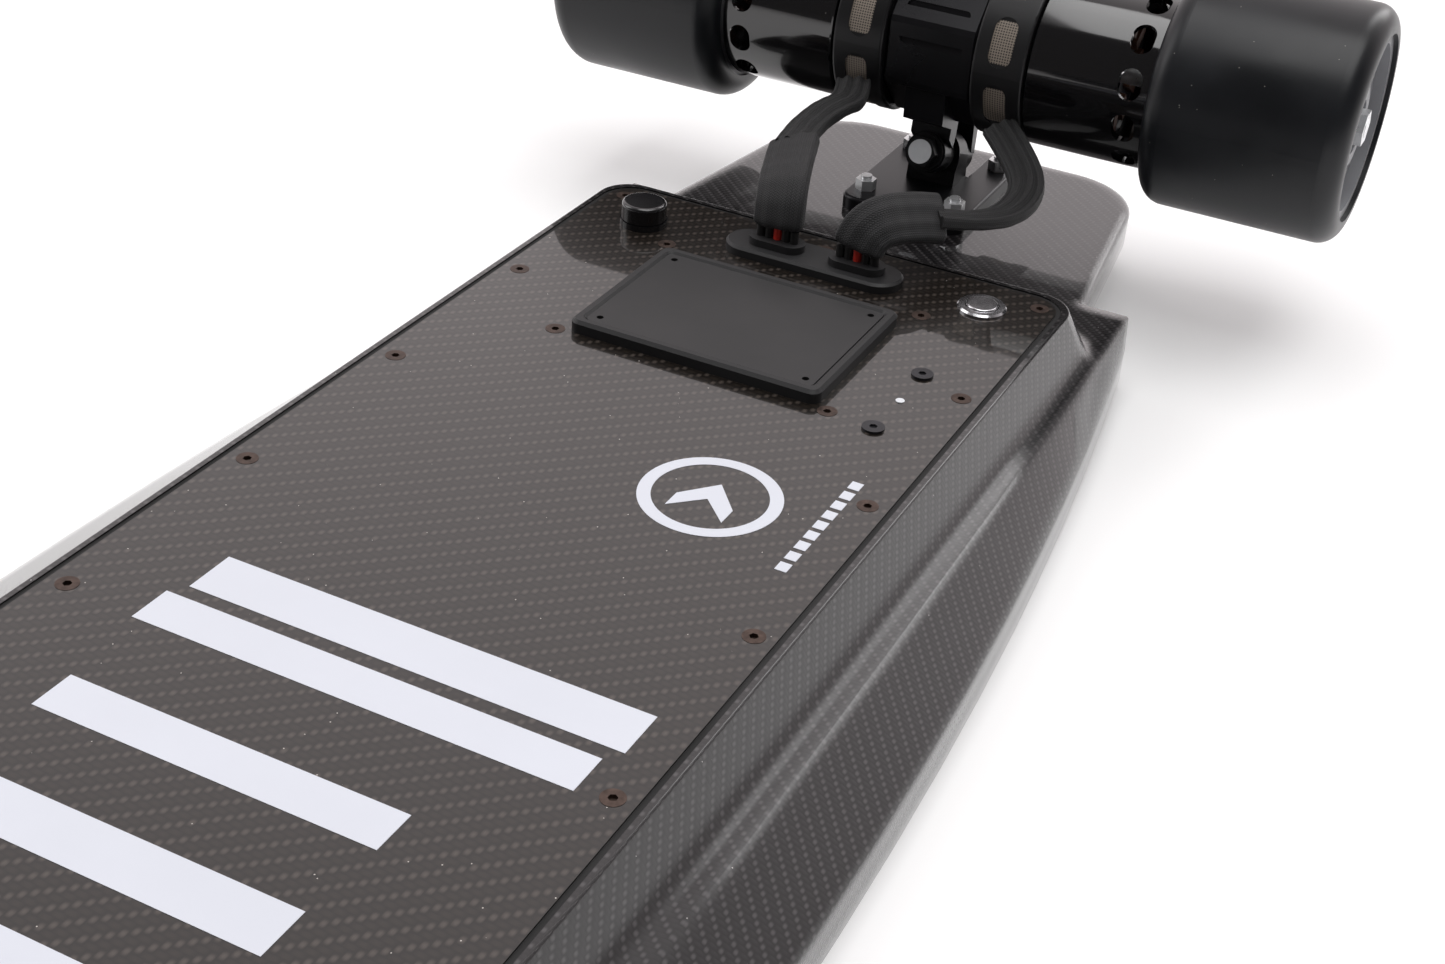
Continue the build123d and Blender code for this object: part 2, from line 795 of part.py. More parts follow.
def side_plane(half_width):
    """A plane along the board whose sketches are X from the rear axle and height above the deck."""
    return Plane(origin=(-axle_x, half_width, valley_height), x_dir=(1, 0, 0), z_dir=(0, -1, 0))


def axle_plane(y):
    return Plane(origin=(-axle_x, y, axle_height), x_dir=(1, 0, 0), z_dir=(0, 1, 0))


def save_both(part, name):
    """The tail's piece, and its mirror image at the nose."""
    save(part, "rear_" + name)
    save(part.mirror(Plane.YZ), "front_" + name)


rear_mounting = [(-x, y) for x, y in mounting_places]
base_centre = -axle_x + bolt_centre_inboard
# Outlines in the side plane: the post that carries the pivot, and the hanger's two webs.
post_outline = [(-3.5, 0), (14.0, 0), (12.0, 12.0), (7.5, 20.0), (-2.5, 16.0)]
front_web_outline = [
    (13.6, 24), (19.5, 30), (18.6, 34.5), (31, 40), (32, 62), (10, 62), (10, 40), (11.5, 29.4),
]
rear_web_outline = [(-17, 11), (-12.5, 13), (-11.5, 40), (-19, 44)]

with BuildPart() as baseplate:
    with BuildSketch(Plane.XY.offset(valley_height)):
        with Locations((base_centre, 0)):
            RectangleRounded(baseplate_length, baseplate_width, baseplate_corner)
        with Locations((base_centre - baseplate_length / 2, 0)):
            Rectangle(eye_slot_length, 2 * (eye_radius + eye_slot_gap), mode=Mode.SUBTRACT)
    extrude(amount=baseplate_thickness)
    fillet(baseplate.edges().group_by(Axis.Z)[-1], radius=baseplate_round)
    with BuildSketch(side_plane(post_radius)):
        Polygon(*post_outline, align=None)
    extrude(amount=2 * post_radius)
    with BuildSketch(pivot_plane(post_start)):
        Circle(post_radius)
    extrude(amount=post_width)
    with BuildSketch(pivot_plane(0)):
        Circle(eye_radius + eye_clearance)
    extrude(amount=post_start, mode=Mode.SUBTRACT)
    with BuildSketch(pivot_plane(post_start + post_width)):
        Circle(eye_radius + eye_clearance)
    extrude(amount=pivot_length - post_start, mode=Mode.SUBTRACT)
    with BuildSketch(pivot_plane(post_start)):
        Circle(pivot_bolt_radius + pivot_clearance)
    extrude(amount=post_width, mode=Mode.SUBTRACT)
    with Locations(*[(x, y, valley_height + baseplate_thickness) for x, y in rear_mounting]):
        Hole(mounting_bolt_radius, baseplate_thickness)
save_both(baseplate.part, "baseplate")

nut_height = 4.6
bolt_tip = 1.6
bolt_top = valley_height + baseplate_thickness + nut_height + bolt_tip
bolt_head_radius = 4.6
bolt_head_height = 2.4
mounting_nut_radius = 4.0
bolt_head_z = end_plate_bottom
all_mounting = [(end * x, y) for end in (-1, 1) for x, y in mounting_places]

with BuildPart() as mounting_bolts:
    with BuildSketch(Plane.XY.offset(bolt_head_z)):
        with Locations(*all_mounting):
            Circle(mounting_bolt_radius)
    extrude(amount=bolt_top - bolt_head_z)
    with BuildSketch(Plane.XY.offset(bolt_head_z)):
        with Locations(*all_mounting):
            Circle(bolt_head_radius)
    extrude(amount=-bolt_head_height)
save(mounting_bolts.part, "mounting_bolts")

with BuildPart() as mounting_nuts:
    with BuildSketch(Plane.XY.offset(valley_height + baseplate_thickness)):
        with Locations(*all_mounting):
            RegularPolygon(mounting_nut_radius, 6, major_radius=False)
            Circle(mounting_bolt_radius, mode=Mode.SUBTRACT)
    extrude(amount=nut_height)
save(mounting_nuts.part, "mounting_nuts")

with BuildPart() as rear_bushings:
    for start in (front_bushing_start + turning_gap, rear_bushing_start):
        with BuildSketch(pivot_plane(start)):
            Circle(bushing_radius)
            Circle(pivot_bolt_radius + pivot_clearance, mode=Mode.SUBTRACT)
        extrude(amount=bushing_width - turning_gap)
with BuildPart() as pivot_bushings:
    add(rear_bushings.part)
    mirror(about=Plane.YZ)
save(pivot_bushings.part, "pivot_bushings")

with BuildPart() as pivot_bolt:
    with BuildSketch(pivot_plane(0)):
        RegularPolygon(pivot_head_radius, 6)
    extrude(amount=pivot_head_height)
    with BuildSketch(pivot_plane(pivot_head_height)):
        Circle(pivot_flange_radius)
    extrude(amount=pivot_flange_height)
    with BuildSketch(pivot_plane(front_eye_start)):
        Circle(pivot_bolt_radius)
    extrude(amount=pivot_length - front_eye_start - pivot_tip_inset)
save_both(pivot_bolt.part, "pivot_bolt")


def hanger_core():
    """The hub round the axle and the two webs that carry it on the pivot bolt."""
    with BuildPart() as core:
        with BuildSketch(axle_plane(-hub_width / 2)):
            RegularPolygon(hub_radius, hub_sides, major_radius=False, rotation=180 / hub_sides)
        extrude(amount=hub_width)
        chamfer(core.edges(), length=hub_chamfer)
        with BuildSketch(side_plane(web_width / 2)):
            Polygon(*front_web_outline, align=None)
            Polygon(*rear_web_outline, align=None)
        extrude(amount=web_width)
        with BuildSketch(pivot_plane(front_eye_start)):
            Circle(eye_radius)
        extrude(amount=front_eye_width)
        with BuildSketch(pivot_plane(rear_eye_start)):
            Circle(eye_radius)
        extrude(amount=rear_eye_width)
        with BuildSketch(pivot_plane(front_eye_start - turning_gap)):
            Circle(pivot_bolt_radius)
        extrude(amount=pivot_length - front_eye_start - pivot_tip_inset + turning_gap, mode=Mode.SUBTRACT)
    return core.part


panel_normal = math.radians(180 / hub_sides)
panel_length = 28.0
panel_height = 18.0
panel_depth = 1.5
panel_corner = 2.0
panel_origin = (
    -axle_x + hub_radius * math.cos(panel_normal),
    0,
    axle_height + hub_radius * math.sin(panel_normal),
)
panel_plane = Plane(
    origin=panel_origin,
    x_dir=(0, 1, 0),
    z_dir=(math.cos(panel_normal), 0, math.sin(panel_normal)),
)

with BuildPart() as rear_hanger:
    add(hanger_core())
    with BuildSketch(axle_plane(-hub_width / 2)):
        Circle(axle_radius)
    extrude(amount=hub_width, mode=Mode.SUBTRACT)
    with BuildSketch(panel_plane):
        RectangleRounded(panel_length, panel_height, panel_corner)
    extrude(amount=-panel_depth, mode=Mode.SUBTRACT)
save(rear_hanger.part, "rear_hanger")

with BuildPart() as front_hanger:
    add(hanger_core())
    for side in (-1, 1):
        with BuildSketch(axle_plane(side * hub_width / 2)):
            Circle(arm_root_radius)
        with BuildSketch(axle_plane(side * arm_end)):
            Circle(arm_tip_radius)
        loft()
    with BuildSketch(axle_plane(-arm_end)):
        Circle(axle_radius)
    extrude(amount=2 * arm_end, mode=Mode.SUBTRACT)
save(front_hanger.part.mirror(Plane.YZ), "front_hanger")

axle_half = wheel_end - axle_inset
nut_start = wheel_end - face_recess + turning_gap

with BuildPart() as axle:
    add(ring_y(axle_radius, 0, -axle_half, axle_half, -axle_x, axle_height))
save_both(axle.part, "axle")

with BuildPart() as axle_nuts:
    for start in (nut_start, -nut_start - axle_nut_width):
        with BuildSketch(axle_plane(start)):
            RegularPolygon(axle_nut_radius, 6, major_radius=False)
            Circle(axle_radius, mode=Mode.SUBTRACT)
        extrude(amount=axle_nut_width)
save_both(axle_nuts.part, "axle_nuts")

# --- motors: mounts, stators, windings, rotor cans and magnets ------------------------------------

window_length = 21.0
window_width = 10.0
window_depth = 1.6
mesh_drop = 0.5             # mesh below the collar's surface
mesh_depth = 4.0
mount_boss_radius = 10.0
stator_radius = 30.2
stator_start = 47.0
stator_end = 72.0
slot_count = 12
winding_inner = 15.5
winding_outer = 27.0
winding_width = 5.0
winding_gap = 0.4
winding_end = 2.5             # how far the windings stand out of the stator
magnet_count = 16
magnet_inner = 31.0
magnet_gap = 1.2
magnet_cut_spare = 1.0      # cut beyond the magnets' two faces
can_inner = can_radius - can_wall
window_planes = [
    Plane(
        origin=(
            -axle_x + (collar_radius - window_depth) * math.cos(math.radians(angle)),
            (collar_inner + collar_outer) / 2,
            axle_height + (collar_radius - window_depth) * math.sin(math.radians(angle)),
        ),
        x_dir=(0, 1, 0),
        z_dir=(math.cos(math.radians(angle)), 0, math.sin(math.radians(angle))),
    )
    for angle in [window_turn + index * 360.0 / window_count for index in range(window_count)]
]

with BuildPart() as window_tools:
    for plane in window_planes:
        with BuildSketch(plane):
            SlotOverall(window_length, window_width, rotation=90)
        extrude(amount=2 * window_depth)

with BuildPart() as right_mount:
    add(ring_y(collar_radius, axle_radius, collar_inner, collar_outer, -axle_x, axle_height))
    rim_edges = right_mount.edges().filter_by(GeomType.CIRCLE).sort_by(SortBy.RADIUS)[-2:]
    fillet(rim_edges, radius=collar_round)
    add(ring_y(mount_boss_radius, axle_radius, collar_outer, stator_end, -axle_x, axle_height))
    add(window_tools.part, mode=Mode.SUBTRACT)

with BuildPart() as motor_mounts:
    add(right_mount.part)
    mirror(about=Plane.XZ)
save(motor_mounts.part, "motor_mounts")

with BuildPart() as right_mesh:
    mesh_outer = collar_radius - mesh_drop
    mesh_inner = collar_radius - mesh_depth
    add(ring_y(mesh_outer, mesh_inner, collar_inner, collar_outer, -axle_x, axle_height))
    add(window_tools.part, mode=Mode.INTERSECT)
with BuildPart() as vent_mesh:
    add(right_mesh.part)
    mirror(about=Plane.XZ)
save(vent_mesh.part, "vent_mesh")


def slots(inner, outer, width, count, mode):
    """Radial slots in the sketch being drawn."""
    with PolarLocations((inner + outer) / 2, count):
        Rectangle(outer - inner, width, mode=mode)


slot_inner = winding_inner - winding_gap
slot_outer = winding_outer + winding_gap
with BuildPart() as right_stator:
    with BuildSketch(axle_plane(stator_start)):
        Circle(stator_radius)
        Circle(mount_boss_radius, mode=Mode.SUBTRACT)
        slots(slot_inner, slot_outer, winding_width + 2 * winding_gap, slot_count, Mode.SUBTRACT)
    extrude(amount=stator_end - stator_start)
with BuildPart() as motor_stators:
    add(right_stator.part)
    mirror(about=Plane.XZ)
save(motor_stators.part, "motor_stators")

with BuildPart() as right_windings:
    with BuildSketch(axle_plane(stator_start - winding_end)):
        slots(winding_inner, winding_outer, winding_width, slot_count, Mode.ADD)
    extrude(amount=stator_end - stator_start + 2 * winding_end)
with BuildPart() as motor_windings:
    add(right_windings.part)
    mirror(about=Plane.XZ)
save(motor_windings.part, "motor_windings")

with BuildPart() as rotor_can:
    add(ring_y(can_radius, can_inner, can_start, bell_end, -axle_x, axle_height))
    can_bore = bearing_radius + can_bore_gap
    add(ring_y(can_inner, can_bore, bell_end - can_floor, bell_end, -axle_x, axle_height))
    can_rims = rotor_can.edges().filter_by(GeomType.CIRCLE).sort_by(SortBy.RADIUS)[-2:]
    chamfer(can_rims, length=can_chamfer)
    for index in range(vent_count):
        angle = math.radians(vent_turn + index * 360.0 / vent_count)
        vent_plane = Plane(
            origin=(-axle_x, (can_end + bell_end) / 2 + vent_shift, axle_height),
            x_dir=(0, 1, 0),
            z_dir=(math.cos(angle), 0, math.sin(angle)),
        )
        with BuildSketch(vent_plane.offset(can_inner - vent_reach)):
            SlotOverall(vent_length, vent_width, rotation=90)
        extrude(amount=can_wall + 2 * vent_reach, mode=Mode.SUBTRACT)

with BuildPart() as rotor_magnets:
    with BuildSketch(axle_plane(stator_start)):
        Circle(can_inner)
        Circle(magnet_inner, mode=Mode.SUBTRACT)
        cut_inner = magnet_inner - magnet_cut_spare
        cut_outer = can_inner + magnet_cut_spare
        slots(cut_inner, cut_outer, magnet_gap, magnet_count, Mode.SUBTRACT)
    extrude(amount=stator_end - stator_start)

# --- wheels -----------------------------------------------------------------------------------

hub_bore = bearing_radius - bearing_shoulder
inner_disc = wheel_start + core_inset
outer_disc = wheel_end - face_recess
disc_width = 9.0

with BuildPart() as tyre:
    with BuildSketch(axle_plane(wheel_start)):
        Circle(wheel_radius)
        Circle(core_radius, mode=Mode.SUBTRACT)
    extrude(amount=wheel_width)
    shoulder_edges = tyre.edges().filter_by(GeomType.CIRCLE).sort_by(SortBy.RADIUS)[-2:]
    fillet(shoulder_edges, radius=tyre_round)

core_inner = core_radius - core_wall
hub_outer = bearing_radius + hub_wall
core_rings = [
    (core_radius, core_inner, inner_disc, wheel_end - core_inset),
    (core_inner, bearing_radius, wheel_start, inner_disc + disc_width),
    (core_inner, bearing_radius, outer_disc - disc_width, outer_disc),
    (hub_outer, hub_bore, inner_disc + bearing_width, outer_disc - bearing_width),
    (hub_outer, bearing_radius, outer_disc, outer_disc + hub_boss_height),
]

with BuildPart() as wheel_core:
    for outer, inner, start, end in core_rings:
        add(ring_y(outer, inner, start, end, -axle_x, axle_height))
    with BuildSketch(axle_plane(outer_disc - disc_width)):
        with PolarLocations((core_inner + hub_outer) / 2, spoke_hole_count):
            SlotOverall(spoke_hole_length, spoke_hole_width, rotation=90)
    extrude(amount=disc_width, mode=Mode.SUBTRACT)

bearing_bore = axle_radius + bearing_play
outer_bearing = outer_disc - bearing_width
with BuildPart() as wheel_bearings:
    add(ring_y(bearing_radius, bearing_bore, inner_disc, inner_disc + bearing_width, -axle_x, axle_height))
    add(ring_y(bearing_radius, bearing_bore, outer_bearing, outer_disc, -axle_x, axle_height))
with BuildPart() as bearing_spacer:
    add(ring_y(spacer_radius, bearing_bore, inner_disc + bearing_width, outer_bearing, -axle_x, axle_height))

wheel_pieces = {
    "tyre": tyre.part,
    "wheel_core": wheel_core.part,
    "wheel_bearings": wheel_bearings.part,
}
motor_pieces = {"rotor_can": rotor_can.part, "rotor_magnets": rotor_magnets.part}

for name, piece in wheel_pieces.items():
    save(piece, "rear_right_" + name)
    save(piece.mirror(Plane.XZ), "rear_left_" + name)
    save(piece.mirror(Plane.YZ), "front_right_" + name)
    save(piece.mirror(Plane.YZ).mirror(Plane.XZ), "front_left_" + name)
for name, piece in motor_pieces.items():
    save(piece, "rear_right_" + name)
    save(piece.mirror(Plane.XZ), "rear_left_" + name)
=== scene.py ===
import math
import bmesh
import bpy
from mathutils import Matrix, Vector


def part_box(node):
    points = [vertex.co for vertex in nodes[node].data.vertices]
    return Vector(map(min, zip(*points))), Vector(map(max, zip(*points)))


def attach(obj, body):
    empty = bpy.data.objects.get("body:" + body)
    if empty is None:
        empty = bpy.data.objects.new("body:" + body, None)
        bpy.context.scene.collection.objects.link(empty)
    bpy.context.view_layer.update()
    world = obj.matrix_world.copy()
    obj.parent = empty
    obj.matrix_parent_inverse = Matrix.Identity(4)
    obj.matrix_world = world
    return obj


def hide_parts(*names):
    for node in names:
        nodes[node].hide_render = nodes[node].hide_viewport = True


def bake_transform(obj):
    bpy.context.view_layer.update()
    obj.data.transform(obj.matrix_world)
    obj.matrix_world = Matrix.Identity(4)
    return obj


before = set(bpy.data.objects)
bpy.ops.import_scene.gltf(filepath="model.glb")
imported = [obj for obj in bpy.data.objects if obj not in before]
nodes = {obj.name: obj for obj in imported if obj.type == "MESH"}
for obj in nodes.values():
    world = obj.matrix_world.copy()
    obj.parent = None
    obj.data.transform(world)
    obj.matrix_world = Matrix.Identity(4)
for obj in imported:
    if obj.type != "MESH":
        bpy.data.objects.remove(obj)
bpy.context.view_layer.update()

millimetre = 0.001
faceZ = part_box("bottom_cover")[1][2]  # the cover's face, where the graphics and screws lie
print("frame loaded", len(nodes), "nodes")

# ---------- node helpers


def addNode(tree, kind, inputs=(), **settings):
    node = tree.nodes.new(kind)
    for key, value in settings.items():
        setattr(node, key, value)
    for key, value in dict(inputs).items():
        if isinstance(value, bpy.types.NodeSocket):
            tree.links.new(value, node.inputs[key])
        else:
            node.inputs[key].default_value = value
    return node


def maths(tree, operation, a, b=0.0, c=0.0):
    node = addNode(tree, "ShaderNodeMath", {0: a, 1: b, 2: c}, operation=operation)
    return node.outputs[0]


def newGroup(name, inputs, outputs):
    group = bpy.data.node_groups.new(name, "ShaderNodeTree")
    for socketName, kind, value in inputs:
        socket = group.interface.new_socket(socketName, in_out="INPUT", socket_type=kind)
        if value is not None:
            socket.default_value = value
    for socketName, kind in outputs:
        group.interface.new_socket(socketName, in_out="OUTPUT", socket_type=kind)
    return group, group.nodes.new("NodeGroupInput").outputs, group.nodes.new("NodeGroupOutput").inputs


def useGroup(tree, group, **inputs):
    node = tree.nodes.new("ShaderNodeGroup")
    node.node_tree = group
    for key, value in inputs.items():
        socket = node.inputs[key]
        if isinstance(value, bpy.types.NodeSocket):
            tree.links.new(value, socket)
        else:
            socket.default_value = value
    return node.outputs


def floatSocket(name, value=None):
    return (name, "NodeSocketFloat", value)


# ---------- shared effects

twill = {
    "repeat": 4.0,  # tows in one repeat
    "over": 2.0,
    "flatness": 0.5,  # below one gives a tow a flatter top
    "fibresPerTow": 9.0,
}


def buildTwill():
    # 2x2 twill: each tow floats over two and under two, and the step moves on by one
    values = {"U": 0.0, "V": 0.0, "TowU": 0.002, "TowV": 0.0022}
    results = [(name, "NodeSocketFloat") for name in ("Warp", "Height", "Fibre")]
    group, i, o = newGroup("twillCloth", [floatSocket(*item) for item in values.items()], results)
    u = maths(group, "DIVIDE", i["U"], i["TowU"])
    v = maths(group, "DIVIDE", i["V"], i["TowV"])
    cellU, cellV = maths(group, "FLOOR", u), maths(group, "FLOOR", v)
    partU, partV = maths(group, "FRACT", u), maths(group, "FRACT", v)
    step = maths(group, "FLOORED_MODULO", maths(group, "ADD", cellU, cellV), twill["repeat"])
    warp = maths(group, "LESS_THAN", step, twill["over"] - 0.5)
    alongWarp = maths(group, "DIVIDE", maths(group, "ADD", step, partU), twill["over"])
    weftStep = maths(group, "SUBTRACT", step, twill["over"])
    alongWeft = maths(group, "DIVIDE", maths(group, "ADD", weftStep, partV), twill["over"])

    def hump(along, across):
        one = maths(group, "SINE", maths(group, "MULTIPLY", along, math.pi))
        two = maths(group, "SINE", maths(group, "MULTIPLY", across, math.pi))
        flat = maths(group, "POWER", maths(group, "MAXIMUM", two, 0.0), twill["flatness"])
        return maths(group, "MULTIPLY", maths(group, "MAXIMUM", one, 0.0), flat)

    def pick(a, b):
        weft = maths(group, "SUBTRACT", 1.0, warp)
        return maths(group, "ADD", maths(group, "MULTIPLY", a, warp), maths(group, "MULTIPLY", b, weft))

    group.links.new(warp, o["Warp"])
    group.links.new(pick(hump(alongWarp, partV), hump(alongWeft, partU)), o["Height"])
    fibres = twill["fibresPerTow"]
    fibre = pick(maths(group, "MULTIPLY", v, fibres), maths(group, "MULTIPLY", u, fibres))
    settings = {"W": fibre, "Scale": 1.0, "Detail": 1.0}
    noise = addNode(group, "ShaderNodeTexNoise", settings, noise_dimensions="1D")
    group.links.new(noise.outputs[0], o["Fibre"])
    return group


def buildDust():
    # small pale specks, some cells of a point pattern only
    values = {"Scale": 300.0, "Size": 0.06, "Share": 0.3}
    sockets = [("Vector", "NodeSocketVector", None)] + [floatSocket(*item) for item in values.items()]
    group, i, o = newGroup("dustSpecks", sockets, [("Mask", "NodeSocketFloat")])
    settings = {"Vector": i["Vector"], "Scale": i["Scale"], "Randomness": 1.0}
    points = addNode(group, "ShaderNodeTexVoronoi", settings)
    near = maths(group, "LESS_THAN", points.outputs["Distance"], i["Size"])
    split = addNode(group, "ShaderNodeSeparateColor", {0: points.outputs["Color"]})
    chosen = maths(group, "LESS_THAN", split.outputs[0], i["Share"])
    group.links.new(maths(group, "MULTIPLY", near, chosen), o["Mask"])
    return group


def buildGrain():
    # fine surface grain with broad patches of wear, for plastics, metal and rubber
    sockets = [("Vector", "NodeSocketVector", None), floatSocket("Fine", 900.0), floatSocket("Broad", 18.0)]
    results = [(name, "NodeSocketFloat") for name in ("Fine", "Broad")]
    group, i, o = newGroup("surfaceGrain", sockets, results)
    for name, detail in (("Fine", 3.0), ("Broad", 5.0)):
        settings = {"Vector": i["Vector"], "Scale": i[name], "Detail": detail}
        noise = addNode(group, "ShaderNodeTexNoise", settings)
        group.links.new(noise.outputs[0], o[name])
    return group


twillCloth = buildTwill()
dustSpecks = buildDust()
surfaceGrain = buildGrain()

# ---------- materials


def newMaterial(name):
    material = bpy.data.materials.new(name)
    material.use_nodes = True
    tree = material.node_tree
    shader = tree.nodes["Principled BSDF"]
    place = addNode(tree, "ShaderNodeTexCoord").outputs["Object"]
    return material, tree, shader, place


def mixColour(tree, factor, a, b):
    mix = addNode(tree, "ShaderNodeMix", data_type="RGBA")
    for socket, value in ((mix.inputs[0], factor), (mix.inputs[6], a), (mix.inputs[7], b)):
        if isinstance(value, bpy.types.NodeSocket):
            tree.links.new(value, socket)
        elif isinstance(value, (int, float)):
            socket.default_value = value
        else:
            socket.default_value = (*value, 1.0)
    return mix.outputs[2]


def mapRange(tree, value, low, high, fromLow=0.0, fromHigh=1.0):
    node = addNode(tree, "ShaderNodeMapRange", {0: value, 1: fromLow, 2: fromHigh, 3: low, 4: high})
    return node.outputs[0]


def shadeColour(tree, colour, amount):
    return addNode(tree, "ShaderNodeVectorMath", {0: colour, 3: amount}, operation="SCALE").outputs[0]


def addBump(tree, height, distance, strength):
    return addNode(tree, "ShaderNodeBump", {"Height": height, "Distance": distance, "Strength": strength})


carbonLook = {
    "towU": 0.0020,
    "towV": 0.0022,
    # warp: the lighter colour painted on the warp tows' tops, a painted highlight; weft: the cloth's own
    # dark colour
    "warp": (0.060, 0.049, 0.042),
    "weft": (0.016, 0.012, 0.009),
    "highlightFrom": 0.35,
    "dust": (0.55, 0.52, 0.48),
    "bump": 0.12,
}
deckLook = {
    "towU": 0.0015,
    "towV": 0.0016,
    # warp: the lighter colour painted on the warp tows' tops, a painted highlight; weft: the cloth's own
    # dark colour
    "warp": (0.060, 0.056, 0.058),
    "weft": (0.009, 0.008, 0.009),
    "highlightFrom": 0.30,
    "softEdge": 0.009,  # the folds are rounder than the frame's, below the enclosure's rim
    "softFrom": 0.040,
    "softTo": 0.045,
    "dust": (0.45, 0.43, 0.42),
    "bump": 0.25,
}
deckFold = {"y": 0.113, "z": 0.032}  # the fold beside the enclosure
resin = {
    "gapShade": 0.35,  # painted shade: brightness between the tows, where the cloth is lowest
    "fibreShade": (0.75, 1.2),  # of the darkest and the lightest fibres
    "highlightTo": 0.95,
    "speckScale": 260.0,
    "speckSize": 0.055,
    "relief": 0.0002,
    "roughness": 0.38,
    "specular": 0.2,
    "coatRoughness": 0.03,
    "foldSamples": 8,
}


def carbon(name, u, v, look, dusty=0.25):
    material, tree, shader, place = newMaterial(name)
    u, v = u(tree, place), v(tree, place)
    cloth = useGroup(tree, twillCloth, U=u, V=v, TowU=look["towU"], TowV=look["towV"])
    # painted highlight: the warp tows turn lighter towards their tops, as if catching the light
    highlight = mapRange(tree, cloth["Height"], 0.0, 1.0, look["highlightFrom"], resin["highlightTo"])
    colour = mixColour(tree, maths(tree, "MULTIPLY", cloth["Warp"], highlight), look["weft"], look["warp"])
    # painted shade: the colour darkens towards the gaps between the tows
    shade = mapRange(tree, cloth["Height"], resin["gapShade"], 1.0)
    threads = mapRange(tree, cloth["Fibre"], *resin["fibreShade"])
    shaded = shadeColour(tree, colour, maths(tree, "MULTIPLY", shade, threads))
    speckSizes = {"Scale": resin["speckScale"], "Size": resin["speckSize"]}
    specks = useGroup(tree, dustSpecks, Vector=place, Share=dusty, **speckSizes)["Mask"]
    tree.links.new(mixColour(tree, specks, shaded, look["dust"]), shader.inputs["Base Color"])
    bump = addBump(tree, cloth["Height"], resin["relief"], look["bump"])
    if look.get("softEdge"):
        height = addNode(tree, "ShaderNodeSeparateXYZ", {0: place}).outputs[2]
        mixed = addNode(tree, "ShaderNodeMix", data_type="VECTOR")
        tree.links.new(mapRange(tree, height, 0.0, 1.0, look["softFrom"], look["softTo"]), mixed.inputs[0])
        fold = addNode(tree, "ShaderNodeBevel", {"Radius": look["softEdge"]}, samples=resin["foldSamples"])
        tree.links.new(fold.outputs[0], mixed.inputs[4])
        tree.links.new(addNode(tree, "ShaderNodeNewGeometry").outputs["Normal"], mixed.inputs[5])
        soft = mixed.outputs[1]
        tree.links.new(soft, bump.inputs["Normal"])
        tree.links.new(soft, shader.inputs["Coat Normal"])
    tree.links.new(bump.outputs[0], shader.inputs["Normal"])
    shader.inputs["Roughness"].default_value = resin["roughness"]
    shader.inputs["Specular IOR Level"].default_value = resin["specular"]
    shader.inputs["Coat Weight"].default_value = 1.0
    shader.inputs["Coat Roughness"].default_value = resin["coatRoughness"]
    return material


def axisOf(index):
    def read(tree, place):
        return addNode(tree, "ShaderNodeSeparateXYZ", {0: place}).outputs[index]
    return read


def deckAcross(tree, place):
    # distance across the cloth, measured along each facet from the fold beside the enclosure
    point = addNode(tree, "ShaderNodeSeparateXYZ", {0: place}).outputs
    facing = addNode(tree, "ShaderNodeTexCoord").outputs["Normal"]
    normal = addNode(tree, "ShaderNodeSeparateXYZ", {0: facing}).outputs
    side = maths(tree, "SIGN", point[1])
    fromFold = maths(tree, "SUBTRACT", maths(tree, "ABSOLUTE", point[1]), deckFold["y"])
    across = maths(tree, "MULTIPLY", fromFold, normal[2])
    outward = maths(tree, "MULTIPLY", normal[1], side)
    down = maths(tree, "MULTIPLY", maths(tree, "SUBTRACT", point[2], deckFold["z"]), outward)
    return maths(tree, "MULTIPLY", maths(tree, "SUBTRACT", down, across), side)


plainSurface = {
    "noise": (0.3, 0.7),  # the part of the broad noise that is spread over the whole change
    "roughShare": (0.85, 1.2),
    "speckScale": 400.0,
    "speckSize": 0.07,
    "speckColour": (0.4, 0.38, 0.35),
}


def coated(
    name, colour, roughness, metallic=0.0, coat=0.0, coatRoughness=0.05, vary=0.25, bump=0.1,
    fine=900.0, broad=18.0, distance=0.0001, dusty=0.0, specular=0.5,
):
    material, tree, shader, place = newMaterial(name)
    look = plainSurface
    grain = useGroup(tree, surfaceGrain, Vector=place, Fine=fine, Broad=broad)
    tint = mapRange(tree, grain["Broad"], 1.0 - vary, 1.0 + vary, *look["noise"])
    final = shadeColour(tree, colour, tint)
    if dusty:
        speckSizes = {"Scale": look["speckScale"], "Size": look["speckSize"]}
        specks = useGroup(tree, dustSpecks, Vector=place, Share=dusty, **speckSizes)["Mask"]
        final = mixColour(tree, specks, final, look["speckColour"])
    tree.links.new(final, shader.inputs["Base Color"])
    smooth, rough = (min(1.0, roughness * share) for share in look["roughShare"])
    uneven = mapRange(tree, grain["Broad"], smooth, rough, *look["noise"])
    tree.links.new(uneven, shader.inputs["Roughness"])
    relief = addBump(tree, grain["Fine"], distance, bump)
    tree.links.new(relief.outputs[0], shader.inputs["Normal"])
    shader.inputs["Metallic"].default_value = metallic
    shader.inputs["Specular IOR Level"].default_value = specular
    shader.inputs["Coat Weight"].default_value = coat
    shader.inputs["Coat Roughness"].default_value = coatRoughness
    return material


screen = {
    "pitch": 0.0011,
    "wireShare": 0.42,
    "axleX": -0.455,
    "axleZ": 0.101,
    "radius": 0.0363,
    "wire": (0.26, 0.22, 0.18),
    # painted shade: the dark colour of the holes stands in for the shaded inside of the motor
    "hole": (0.03, 0.026, 0.022),
    "relief": 0.0004,
    "bump": 0.8,
    "roughness": 0.55,
}


